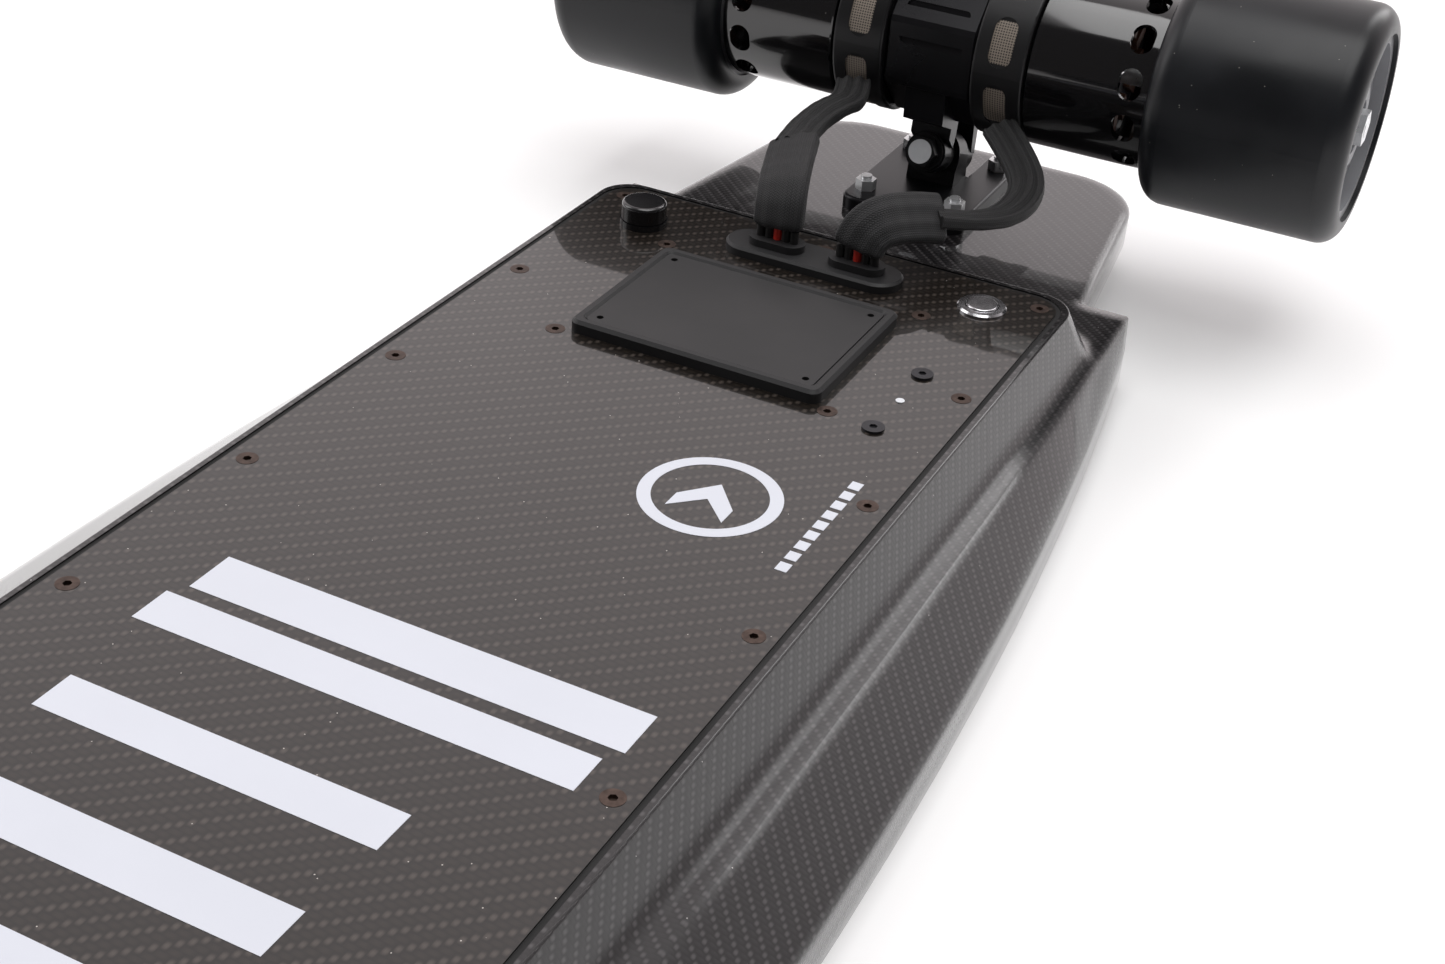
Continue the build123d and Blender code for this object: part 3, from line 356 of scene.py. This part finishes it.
def dustMesh():
    # woven screen: holes between two sets of fine wires, wrapped round the axle
    material, tree, shader, place = newMaterial("dustMesh")
    look = screen
    point = addNode(tree, "ShaderNodeSeparateXYZ", {0: place}).outputs
    across = maths(tree, "FRACT", maths(tree, "DIVIDE", point[1], look["pitch"]))
    up = maths(tree, "SUBTRACT", point[2], look["axleZ"])
    turn = maths(tree, "ARCTAN2", up, maths(tree, "SUBTRACT", point[0], look["axleX"]))
    along = maths(tree, "FRACT", maths(tree, "DIVIDE", turn, look["pitch"] / look["radius"]))
    openAcross = maths(tree, "GREATER_THAN", across, look["wireShare"])
    openAlong = maths(tree, "GREATER_THAN", along, look["wireShare"])
    holes = maths(tree, "MULTIPLY", openAcross, openAlong)
    # the holes get the painted shade colour, the wires their own
    tree.links.new(mixColour(tree, holes, look["wire"], look["hole"]), shader.inputs["Base Color"])
    bump = addBump(tree, maths(tree, "SUBTRACT", 1.0, holes), look["relief"], look["bump"])
    tree.links.new(bump.outputs[0], shader.inputs["Normal"])
    shader.inputs["Roughness"].default_value = look["roughness"]
    return material


pivotLook = {
    "faceX": 0.4252,  # outer face of the bolt's head, from mid length
    "faceZ": 0.058,
    "lean": 20.0,
    "bright": 0.0052,  # radius of the plated middle
    "platingLow": (0.70, 0.72, 0.75),
    "platingHigh": (0.88, 0.90, 0.92),
    "black": (0.010, 0.010, 0.011),
    "roughness": (0.34, 0.24),  # of the black and of the plating
    "metallic": 0.35,
    "fine": 1200.0,
    "broad": 250.0,
    "relief": 0.0001,
    "bump": 0.08,
}


def pivotSteel():
    # black flange and rim round a plated middle, measured from the leaning axis at either truck
    material, tree, shader, place = newMaterial("pivotSteel")
    look = pivotLook
    lean = math.radians(look["lean"])
    point = addNode(tree, "ShaderNodeSeparateXYZ", {0: place}).outputs
    back = maths(tree, "SUBTRACT", maths(tree, "ABSOLUTE", point[0]), look["faceX"])
    up = maths(tree, "SUBTRACT", point[2], look["faceZ"])
    upShare = maths(tree, "MULTIPLY", up, math.cos(lean))
    offAxis = maths(tree, "MULTIPLY_ADD", back, math.sin(lean), upShare)
    sideways = maths(tree, "MULTIPLY", point[1], point[1])
    radius = maths(tree, "SQRT", maths(tree, "MULTIPLY_ADD", offAxis, offAxis, sideways))
    plated = maths(tree, "LESS_THAN", radius, look["bright"])
    grain = useGroup(tree, surfaceGrain, Vector=place, Fine=look["fine"], Broad=look["broad"])
    plate = mixColour(tree, grain["Broad"], look["platingLow"], look["platingHigh"])
    tree.links.new(mixColour(tree, plated, look["black"], plate), shader.inputs["Base Color"])
    tree.links.new(mapRange(tree, plated, *look["roughness"]), shader.inputs["Roughness"])
    relief = addBump(tree, grain["Fine"], look["relief"], look["bump"])
    tree.links.new(relief.outputs[0], shader.inputs["Normal"])
    shader.inputs["Metallic"].default_value = look["metallic"]
    return material


sleeving = {
    "paintedLightFrom": 0.2,
    "reliefShare": 0.3,  # of the pitch
    "bump": 0.7,
    "roughness": 0.58,
    "specular": 0.35,
    "sheen": 0.05,
}


def braid(name, colour, light, pitch):
    # woven sleeving, read from the piece's own cloth coordinates in metres
    material, tree, shader, place = newMaterial(name)
    cloth = addNode(tree, "ShaderNodeUVMap", uv_map="cloth").outputs[0]
    point = addNode(tree, "ShaderNodeSeparateXYZ", {0: cloth}).outputs
    one = maths(tree, "ADD", point[0], point[1])
    two = maths(tree, "SUBTRACT", point[0], point[1])
    weave = useGroup(tree, twillCloth, U=one, V=two, TowU=pitch, TowV=pitch)
    # painted light: the raised threads take the lighter colour as a painted highlight, the gaps the darker
    # as painted shade
    paintedLight = mapRange(tree, weave["Height"], sleeving["paintedLightFrom"], 1.0)
    tree.links.new(mixColour(tree, paintedLight, colour, light), shader.inputs["Base Color"])
    bump = addBump(tree, weave["Height"], pitch * sleeving["reliefShare"], sleeving["bump"])
    tree.links.new(bump.outputs[0], shader.inputs["Normal"])
    shader.inputs["Roughness"].default_value = sleeving["roughness"]
    shader.inputs["Specular IOR Level"].default_value = sleeving["specular"]
    shader.inputs["Sheen Weight"].default_value = sleeving["sheen"]
    return material


coverCarbon = carbon("coverCarbon", axisOf(0), axisOf(1), carbonLook)
deckCarbon = carbon("deckCarbon", axisOf(0), deckAcross, deckLook, 0.1)
whiteVinyl = coated("whiteVinyl", (0.68, 0.71, 0.78), 0.35, coat=0.6, vary=0.02, bump=0.05)
screwBronze = coated(
    "screwBronze", (0.085, 0.060, 0.050), 0.42,
    metallic=0.85, vary=0.35, bump=0.25, broad=400.0,
)
screwBlack = coated("screwBlack", (0.045, 0.045, 0.05), 0.35, metallic=0.7, broad=300.0)
plateDark = coated(
    "plateDark", (0.026, 0.026, 0.027), 0.42,
    metallic=0.3, vary=0.06, bump=0.12, fine=1400.0,
)
frameBlack = coated("frameBlack", (0.012, 0.012, 0.013), 0.5, vary=0.15, bump=0.25)
blackPlastic = coated("blackPlastic", (0.014, 0.014, 0.015), 0.42, bump=0.25)
capBlack = coated("capBlack", (0.006, 0.006, 0.007), 0.22, coat=0.5, bump=0.06)
sealRubber = coated("sealRubber", (0.006, 0.006, 0.006), 0.7)
gripGrit = coated("gripGrit", (0.012, 0.012, 0.012), 0.9, bump=1.0, fine=1500.0, distance=0.0006)
polishedSilver = coated(
    "polishedSilver", (0.62, 0.62, 0.64), 0.18,
    metallic=1.0, vary=0.05, bump=0.03, broad=120.0,
)
ledLens = coated("ledLens", (0.75, 0.78, 0.82), 0.2, vary=0.02, bump=0.02)
truckBlack = coated(
    "truckBlack", (0.012, 0.012, 0.014), 0.30,
    metallic=0.55, vary=0.12, bump=0.10, fine=1300.0,
)
mountBlack = coated("mountBlack", (0.012, 0.012, 0.013), 0.40, metallic=0.4, vary=0.12, bump=0.15)
zincSteel = coated("zincSteel", (0.78, 0.79, 0.80), 0.30, metallic=0.75, vary=0.12, broad=200.0, bump=0.06)
canBlack = coated("canBlack", (0.003, 0.003, 0.0035), 0.10, coat=0.8, vary=0.1, bump=0.02, dusty=0.05)
urethaneBlack = coated(
    "urethaneBlack", (0.008, 0.009, 0.011), 0.34,
    vary=0.25, bump=0.10, broad=30.0, dusty=0.08, specular=0.36,
)
coreGrey = coated("coreGrey", (0.24, 0.245, 0.26), 0.4, vary=0.06, bump=0.08)
lamination = coated("lamination", (0.10, 0.10, 0.11), 0.45, metallic=0.8, fine=2500.0, bump=0.3)
copperWire = coated("copperWire", (0.11, 0.045, 0.025), 0.45, metallic=0.6, fine=1800.0, bump=0.4)
magnetNickel = coated("magnetNickel", (0.35, 0.35, 0.36), 0.3, metallic=0.9)
bushingRubber = coated("bushingRubber", (0.02, 0.02, 0.021), 0.5)
cellWrap = coated("cellWrap", (0.03, 0.12, 0.22), 0.35, vary=0.05)
nickelStrip = coated("nickelStrip", (0.5, 0.48, 0.43), 0.35, metallic=1.0)
wireBlack = coated("wireBlack", (0.010, 0.010, 0.010), 0.38, bump=0.05)
wireRed = coated("wireRed", (0.50, 0.02, 0.010), 0.38, bump=0.05)
meshBeige = dustMesh()
pivotPlated = pivotSteel()
# each braid's second colour is its painted highlight on the raised threads
sleeveCloth = braid("sleeveCloth", (0.004, 0.004, 0.004), (0.022, 0.022, 0.024), 0.0009)
cableCloth = braid("cableCloth", (0.003, 0.003, 0.003), (0.017, 0.017, 0.018), 0.0009)

finishes = {
    "deck_shell": deckCarbon, "bottom_cover": coverCarbon, "grip_tape": gripGrit, "cover_seal": sealRubber,
    "cover_screws": screwBronze, "antenna_screws": screwBlack, "status_led": ledLens,
    "heat_plate": plateDark, "heat_plate_frame": frameBlack, "motor_controller": blackPlastic,
    "remote_receiver": blackPlastic, "cell_holders": blackPlastic, "battery_manager": blackPlastic,
    "battery_cells": cellWrap, "nickel_strips": nickelStrip, "gland_plate": frameBlack,
    "cable_glands": frameBlack, "charge_port": capBlack, "charge_cap": capBlack,
    "phase_leads": wireBlack, "signal_leads": wireRed, "button_bezel": polishedSilver,
    "power_button": polishedSilver, "rear_baseplate": truckBlack, "front_baseplate": truckBlack,
    "rear_hanger": truckBlack, "front_hanger": truckBlack, "mounting_bolts": zincSteel,
    "mounting_nuts": zincSteel, "pivot_bushings": bushingRubber, "motor_mounts": mountBlack,
    "vent_mesh": meshBeige, "motor_stators": lamination, "motor_windings": copperWire,
}
endings = {
    "_tyre": urethaneBlack, "_wheel_core": coreGrey, "_wheel_bearings": zincSteel, "_rotor_can": canBlack,
    "_rotor_magnets": magnetNickel, "_axle": zincSteel, "_axle_nuts": zincSteel, "_pivot_bolt": pivotPlated,
}


def paint(piece, material):
    piece.data.materials.clear()
    piece.data.materials.append(material)


for name, piece in nodes.items():
    material = finishes.get(name)
    for ending, finish in endings.items():
        if name.endswith(ending):
            material = finish
    paint(piece, material)
print("materials on the frame's pieces")

# ---------- mesh helpers


def finishMesh(name, mesh, material, smoothAngle=35.0):
    mesh.validate()
    piece = bpy.data.objects.new(name, mesh)
    bpy.context.scene.collection.objects.link(piece)
    mesh.materials.clear()
    mesh.materials.append(material)
    mesh.shade_smooth()
    mesh.set_sharp_from_angle(angle=math.radians(smoothAngle))
    return piece


def fromBmesh(name, bm, material, smoothAngle=35.0):
    bmesh.ops.remove_doubles(bm, verts=bm.verts, dist=1e-6)
    bmesh.ops.recalc_face_normals(bm, faces=bm.faces)
    mesh = bpy.data.meshes.new(name)
    bm.to_mesh(mesh)
    bm.free()
    return finishMesh(name, mesh, material, smoothAngle)


def slab(bm, outline, low, high):
    # an upright-sided flat piece from a closed outline of (x, y) in metres
    bottom = [bm.verts.new((x, y, low)) for x, y in outline]
    top = [bm.verts.new((x, y, high)) for x, y in outline]
    bm.faces.new(bottom)
    bm.faces.new(top)
    for k in range(len(outline)):
        n = (k + 1) % len(outline)
        bm.faces.new((bottom[k], bottom[n], top[n], top[k]))


# ---------- plain white graphics on the cover

graphics = {
    "thick": 0.00012,
    "bars": [  # x from, x to, y from, y to, in millimetres
        (-35, -17, -60, 84), (-12, 3, -64, 80), (32, 47, -60, 50), (73, 90, -64, 48),
        (112, 128, -60, 60), (150, 166, -64, 64),
    ],
    "ringCentre": (-142, 45),
    "ringOuter": 23.5,
    "ringInner": 19.0,
    "ringSides": 96,
    "arrow": [(-12, -10), (-2, 0), (-12, 10), (-4, 10), (8, 0), (-4, -10)],  # from the ring's middle
    "ticks": (-175, -114, 80.0, 84.0, 9),  # x from, x to, y from, y to, count
    "tickShare": 0.7,  # of a tick's pitch
}


def makeGraphics():
    g = graphics
    bm = bmesh.new()
    low, high = faceZ, faceZ + g["thick"]
    for x0, x1, y0, y1 in g["bars"]:
        outline = [(x0, y0), (x1, y0), (x1, y1), (x0, y1)]
        slab(bm, [(x * millimetre, y * millimetre) for x, y in outline], low, high)
    cx, cy = g["ringCentre"]
    count = g["ringSides"]

    def circle(radius, k):
        turn = 2 * math.pi * k / count
        return (cx + radius * math.cos(turn)) * millimetre, (cy + radius * math.sin(turn)) * millimetre

    rings = []
    for radius in (g["ringInner"], g["ringOuter"]):
        for z in (low, high):
            rings.append([bm.verts.new((*circle(radius, k), z)) for k in range(count)])
    innerLow, innerHigh, outerLow, outerHigh = rings
    around = (innerLow, outerLow, outerHigh, innerHigh, innerLow)
    for one, two in zip(around, around[1:]):
        for k in range(count):
            n = (k + 1) % count
            bm.faces.new((one[k], one[n], two[n], two[k]))
    slab(bm, [((cx - x) * millimetre, (cy + y) * millimetre) for x, y in g["arrow"]], low, high)
    x0, x1, y0, y1, ticks = g["ticks"]
    pitch = (x1 - x0) / ticks
    for k in range(ticks):
        start = x0 + k * pitch
        end = start + pitch * g["tickShare"]
        outline = [(start, y0), (end, y0), (end, y1), (start, y1)]
        slab(bm, [(x * millimetre, y * millimetre) for x, y in outline], low, high)
    piece = fromBmesh("coverGraphics", bm, whiteVinyl)
    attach(piece, "board")


makeGraphics()
print("graphics")

# ---------- cover screws, by a node tree on a set of points

coverScrews = {  # places in millimetres, the head's sizes in metres
    "pitch": 82.0,
    "rows": 9,
    "lineY": 90.0,
    "endX": 328.0,
    "bracket": [(-297.0, 54.0), (-212.0, 54.0), (-297.0, -54.0), (-212.0, -54.0)],
    "headRadius": 0.0036,
    "headHeight": 0.0021,
    "shankRadius": 0.0019,
    "socketRadius": 0.00145,
    "socketDepth": 0.0013,
    "sides": 32,
    "proud": 0.0001,
    "seed": 7,
}


def socketId(tree, name):
    for item in tree.interface.items_tree:
        if item.name == name and item.in_out == "INPUT":
            return item.identifier


def screwTree(material):
    tree = bpy.data.node_groups.new("screwHeads", "GeometryNodeTree")
    tree.interface.new_socket("Geometry", in_out="INPUT", socket_type="NodeSocketGeometry")
    for name in ("Head Radius", "Head Height", "Shank Radius", "Socket Radius", "Socket Depth"):
        tree.interface.new_socket(name, in_out="INPUT", socket_type="NodeSocketFloat")
    tree.interface.new_socket("Seed", in_out="INPUT", socket_type="NodeSocketInt")
    tree.interface.new_socket("Geometry", in_out="OUTPUT", socket_type="NodeSocketGeometry")
    i = tree.nodes.new("NodeGroupInput").outputs
    o = tree.nodes.new("NodeGroupOutput").inputs
    cone = {"Radius Top": i["Head Radius"], "Radius Bottom": i["Shank Radius"], "Depth": i["Head Height"]}
    head = addNode(tree, "GeometryNodeMeshCone", {"Vertices": coverScrews["sides"], **cone})
    lowered = addNode(tree, "ShaderNodeCombineXYZ", {2: maths(tree, "MULTIPLY", i["Head Height"], -1.0)})
    sunk = {"Geometry": head.outputs["Mesh"], "Translation": lowered.outputs[0]}
    headPlace = addNode(tree, "GeometryNodeTransform", sunk).outputs[0]
    socket = {"Radius": i["Socket Radius"], "Depth": maths(tree, "MULTIPLY", i["Socket Depth"], 2.0)}
    hexagon = addNode(tree, "GeometryNodeMeshCylinder", {"Vertices": 6, **socket})
    cut = addNode(tree, "GeometryNodeMeshBoolean", operation="DIFFERENCE")
    tree.links.new(headPlace, cut.inputs["Mesh 1"])
    tree.links.new(hexagon.outputs["Mesh"], cut.inputs["Mesh 2"])
    turn = addNode(tree, "FunctionNodeRandomValue", {"Seed": i["Seed"]}, data_type="FLOAT")
    turn.inputs[2].default_value, turn.inputs[3].default_value = 0.0, math.pi / 3
    spin = addNode(tree, "ShaderNodeCombineXYZ", {2: turn.outputs[1]}).outputs[0]
    placing = {"Points": i["Geometry"], "Instance": cut.outputs["Mesh"], "Rotation": spin}
    placed = addNode(tree, "GeometryNodeInstanceOnPoints", placing)
    real = addNode(tree, "GeometryNodeRealizeInstances", {0: placed.outputs[0]})
    painted = addNode(tree, "GeometryNodeSetMaterial", {"Geometry": real.outputs[0], "Material": material})
    tree.links.new(painted.outputs[0], o[0])
    return tree


def applyTree(name, points, tree, values, material):
    # the tree's result on a set of points, as a plain mesh
    mesh = bpy.data.meshes.new(name + "Points")
    mesh.from_pydata(points, [], [])
    holder = bpy.data.objects.new(name + "Points", mesh)
    bpy.context.scene.collection.objects.link(holder)
    modifier = holder.modifiers.new("tree", "NODES")
    modifier.node_group = tree
    for key, value in values.items():
        modifier[socketId(tree, key)] = value
    bpy.context.view_layer.update()
    shaped = holder.evaluated_get(bpy.context.evaluated_depsgraph_get())
    result = bpy.data.meshes.new_from_object(shaped)
    holder.modifiers.remove(modifier)
    bpy.data.objects.remove(holder)
    return finishMesh(name, result, material)


def makeCoverScrews():
    c = coverScrews
    rows = [(k - (c["rows"] - 1) / 2) * c["pitch"] for k in range(c["rows"])]
    places = [(x, side * c["lineY"]) for x in rows for side in (-1, 1)]
    places += [(-c["endX"], 0), (c["endX"], 0)] + c["bracket"]
    top = faceZ + c["proud"]
    points = [(x * millimetre, y * millimetre, top) for x, y in places]
    values = {
        "Head Radius": c["headRadius"], "Head Height": c["headHeight"], "Shank Radius": c["shankRadius"],
        "Socket Radius": c["socketRadius"], "Socket Depth": c["socketDepth"], "Seed": c["seed"],
    }
    piece = applyTree("coverScrewHeads", points, screwTree(screwBronze), values, screwBronze)
    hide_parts("cover_screws")
    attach(piece, "board")


makeCoverScrews()
print("cover screws")

# ---------- motor cables: flat sleeves at the glands, then three leads side by side

sleeves = {  # routes in millimetres, half sizes in metres
    "left": [(-313.0, -14.0, 62.0), (-314.0, -14.5, 73.0), (-330.0, -20.0, 80.0), (-352.0, -27.0, 81.0)],
    "right": [(-313.0, 20.0, 62.0), (-314.0, 21.5, 71.0), (-326.0, 32.0, 74.0), (-338.0, 43.0, 71.0)],
    "halfWide": 0.0103,
    "halfThick": 0.0041,
    "groove": 0.14,
    "ripples": [(0.035, 17, 0.6), (0.02, 41, 0)],  # depth, count and start along the sleeve
    "endWidth": 0.86,
    "endSlope": 6,
    "steps": 60,
}
cables = {
    "left": [
        (-348.0, -26.0, 81.2), (-370.0, -31.0, 80.0), (-388.0, -27.0, 84.0),
        (-403.0, -25.0, 82.0), (-418.5, -31.0, 84.0),
    ],
    "right": [
        (-335.5, 40.5, 71.6), (-352.0, 54.5, 67.0), (-374.0, 61.0, 65.0),
        (-396.0, 59.0, 67.0), (-410.0, 48.0, 73.0), (-420.0, 35.0, 79.5),
    ],
    "halfWide": 0.0074,
    "halfThick": 0.0036,
    "groove": 0.45,
    "ripples": [(0.03, 29, 0), (0.02, 63, 1)],
    "wideAlong": (0.3, 0.95, 0.1),
    "blendFrom": 4,  # steps from the board's end and from the truck's end
    "blendTo": -8,
    "steps": 90,
}
skinOutline = {"lobes": 3, "square": 0.62, "count": 72, "sharpAngle": 50.0}
route = {"order": 3, "resolution": 24, "shortest": 1e-9}


def routeLine(points, steps):
    # points along one smooth curve with the route's points as its controls
    data = bpy.data.curves.new("route", "CURVE")
    data.dimensions = "3D"
    spline = data.splines.new("NURBS")
    spline.points.add(len(points) - 1)
    for k, point in enumerate(points):
        spline.points[k].co = (*(c * millimetre for c in point), 1.0)
    spline.order_u = route["order"]
    spline.use_endpoint_u = True
    spline.resolution_u = route["resolution"]
    holder = bpy.data.objects.new("route", data)
    mesh = bpy.data.meshes.new_from_object(holder)
    line = [v.co.copy() for v in mesh.vertices]
    bpy.data.objects.remove(holder)
    lengths = [0.0]
    for a, b in zip(line, line[1:]):
        lengths.append(lengths[-1] + (b - a).length)
    even, k = [], 0
    for step in range(steps + 1):
        want = lengths[-1] * step / steps
        while k < len(lengths) - 2 and lengths[k + 1] < want:
            k += 1
        part = (want - lengths[k]) / max(lengths[k + 1] - lengths[k], route["shortest"])
        even.append(line[k].lerp(line[k + 1], part))
    return even, lengths[-1]


def ribbon(name, line, length, section, material, wide=(0, 1, 0)):
    # a closed skin swept along a line; section(along) gives (across, up) points in metres
    bm = bmesh.new()
    cloth = bm.loops.layers.uv.new("cloth")
    across = Vector(wide)
    rings, outlines = [], []
    for k, centre in enumerate(line):
        ahead = (line[min(k + 1, len(line) - 1)] - line[max(k - 1, 0)]).normalized()
        across = (across - ahead * across.dot(ahead)).normalized()
        up = ahead.cross(across)
        outline = section(k / (len(line) - 1))
        outlines.append(outline)
        rings.append([bm.verts.new(centre + across * a + up * b) for a, b in outline])
    around = [0.0]
    middle = outlines[len(outlines) // 2]
    for a, b in zip(middle, middle[1:] + middle[:1]):
        around.append(around[-1] + math.dist(a, b))
    count = len(rings[0])
    for k in range(len(rings) - 1):
        for n in range(count):
            m = (n + 1) % count
            face = bm.faces.new((rings[k][n], rings[k][m], rings[k + 1][m], rings[k + 1][n]))
            spots = ((n, k), (n + 1, k), (n + 1, k + 1), (n, k + 1))
            for loop, (turn, step) in zip(face.loops, spots):
                loop[cloth].uv = (around[turn], length * step / (len(rings) - 1))
    bm.faces.new(rings[0])
    bm.faces.new(rings[-1])
    return fromBmesh(name, bm, material, skinOutline["sharpAngle"])


def lobedOutline(look, along):
    # three leads side by side under one skin, with ripples along it
    shape = skinOutline
    ripple = 1 + sum(depth * math.sin(count * along + start) for depth, count, start in look["ripples"])
    outline = []
    for k in range(shape["count"]):
        turn = 2 * math.pi * k / shape["count"]
        a = math.copysign(abs(math.cos(turn)) ** shape["square"], math.cos(turn))
        b = math.copysign(abs(math.sin(turn)) ** shape["square"], math.sin(turn))
        swell = 1 - look["groove"] * (0.5 + 0.5 * math.cos(math.pi * shape["lobes"] * a))
        outline.append((look["halfWide"] * a, look["halfThick"] * b * swell * ripple))
    return outline


def sleeveSection(along):
    end = min(1.0, sleeves["endWidth"] + sleeves["endSlope"] * min(along, 1 - along))
    return [(a * end, b * end) for a, b in lobedOutline(sleeves, along)]


def cableSection(along):
    return lobedOutline(cables, along)


def makeCables():
    for side in ("left", "right"):
        line, length = routeLine(sleeves[side], sleeves["steps"])
        piece = ribbon(side + "SleeveSkin", line, length, sleeveSection, sleeveCloth)
        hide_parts("heat_shrink_" + side)
        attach(piece, "board")
        line, length = routeLine(cables[side], cables["steps"])
        piece = ribbon(side + "CableSkin", line, length, cableSection, cableCloth, cables["wideAlong"])
        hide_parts("motor_cable_" + side)
        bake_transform(piece)


makeCables()
print("motor cables")

# ---------- camera, lights and floor

view = {
    "lens": 51.28,
    "sensorWidth": 36.0,
    "nearest": 0.01,
    "place": Vector((0.3581, 0.2786, 0.3988)),
    "right": Vector((-0.45226, 0.88960, 0.06375)),
    "down": Vector((0.44712, 0.28800, -0.84684)),
    "forward": Vector((-0.77171, -0.35449, -0.52801)),
}


def makeCamera():
    data = bpy.data.cameras.new("camera")
    camera = bpy.data.objects.new("camera", data)
    bpy.context.scene.collection.objects.link(camera)
    data.lens = view["lens"]
    data.sensor_width = view["sensorWidth"]
    data.clip_start = view["nearest"]
    turn = Matrix((view["right"], -view["down"], -view["forward"])).transposed()
    camera.matrix_world = Matrix.Translation(view["place"]) @ turn.to_4x4()
    bpy.context.scene.camera = camera


studio = {
    "bright": 1.05,  # the sky behind the tail
    "dim": 0.10,  # the sky behind the camera
    "floor": 0.9,
    "floorGlow": 0.16,
    "floorRoughness": 0.9,
    "floorSpecular": 0.1,
    "floorHalf": 9.0,
    "skyTint": (1.0, 0.93, 0.94, 1.0),
    "skyTurn": 0.5,  # how far the bright side is turned across the board
    "skyFrom": -0.85,
    "skyTo": 0.4,
    "lights": [  # name, place, size, power, aims at
        ("overhead", (-0.1, 0.3, 2.2), (1.8, 1.8), 32.0, (-0.1, 0, 0)),
        ("sideLeft", (0.1, -1.9, 1.3), (1.0, 1.6), 10.0, (-0.2, 0, 0)),
        ("backStrip", (-2.3, 0.6, 1.3), (0.5, 1.8), 10.0, (-0.4, 0, 0.1)),
    ],
}


def makeStudio():
    world = bpy.data.worlds.new("studio")
    world.use_nodes = True
    bpy.context.scene.world = world
    tree = world.node_tree
    back = tree.nodes["Background"]
    back.inputs["Color"].default_value = studio["skyTint"]
    direction = addNode(tree, "ShaderNodeTexCoord").outputs["Generated"]
    sky = addNode(tree, "ShaderNodeSeparateXYZ", {0: direction}).outputs
    turned = maths(tree, "MULTIPLY_ADD", sky[1], studio["skyTurn"], sky[0])
    levels = (studio["bright"], studio["dim"], studio["skyFrom"], studio["skyTo"])
    tree.links.new(mapRange(tree, turned, *levels), back.inputs["Strength"])
    bpy.context.scene.view_settings.view_transform = "Standard"
    for name, place, size, power, aim in studio["lights"]:
        data = bpy.data.lights.new(name, "AREA")
        data.shape = "RECTANGLE"
        data.size, data.size_y = size
        data.energy = power
        light = bpy.data.objects.new(name, data)
        light.location = place
        light.rotation_euler = (Vector(aim) - Vector(place)).to_track_quat("-Z", "Y").to_euler()
        bpy.context.scene.collection.objects.link(light)
    material, tree, shader, place = newMaterial("floorPale")
    shader.inputs["Base Color"].default_value = (studio["floor"],) * 3 + (1.0,)
    shader.inputs["Roughness"].default_value = studio["floorRoughness"]
    shader.inputs["Specular IOR Level"].default_value = studio["floorSpecular"]
    shader.inputs["Emission Color"].default_value = (1.0, 1.0, 1.0, 1.0)
    shader.inputs["Emission Strength"].default_value = studio["floorGlow"]
    bm = bmesh.new()
    bmesh.ops.create_grid(bm, x_segments=1, y_segments=1, size=studio["floorHalf"])
    floor = fromBmesh("floor", bm, material)


makeCamera()
makeStudio()
print("camera and studio")
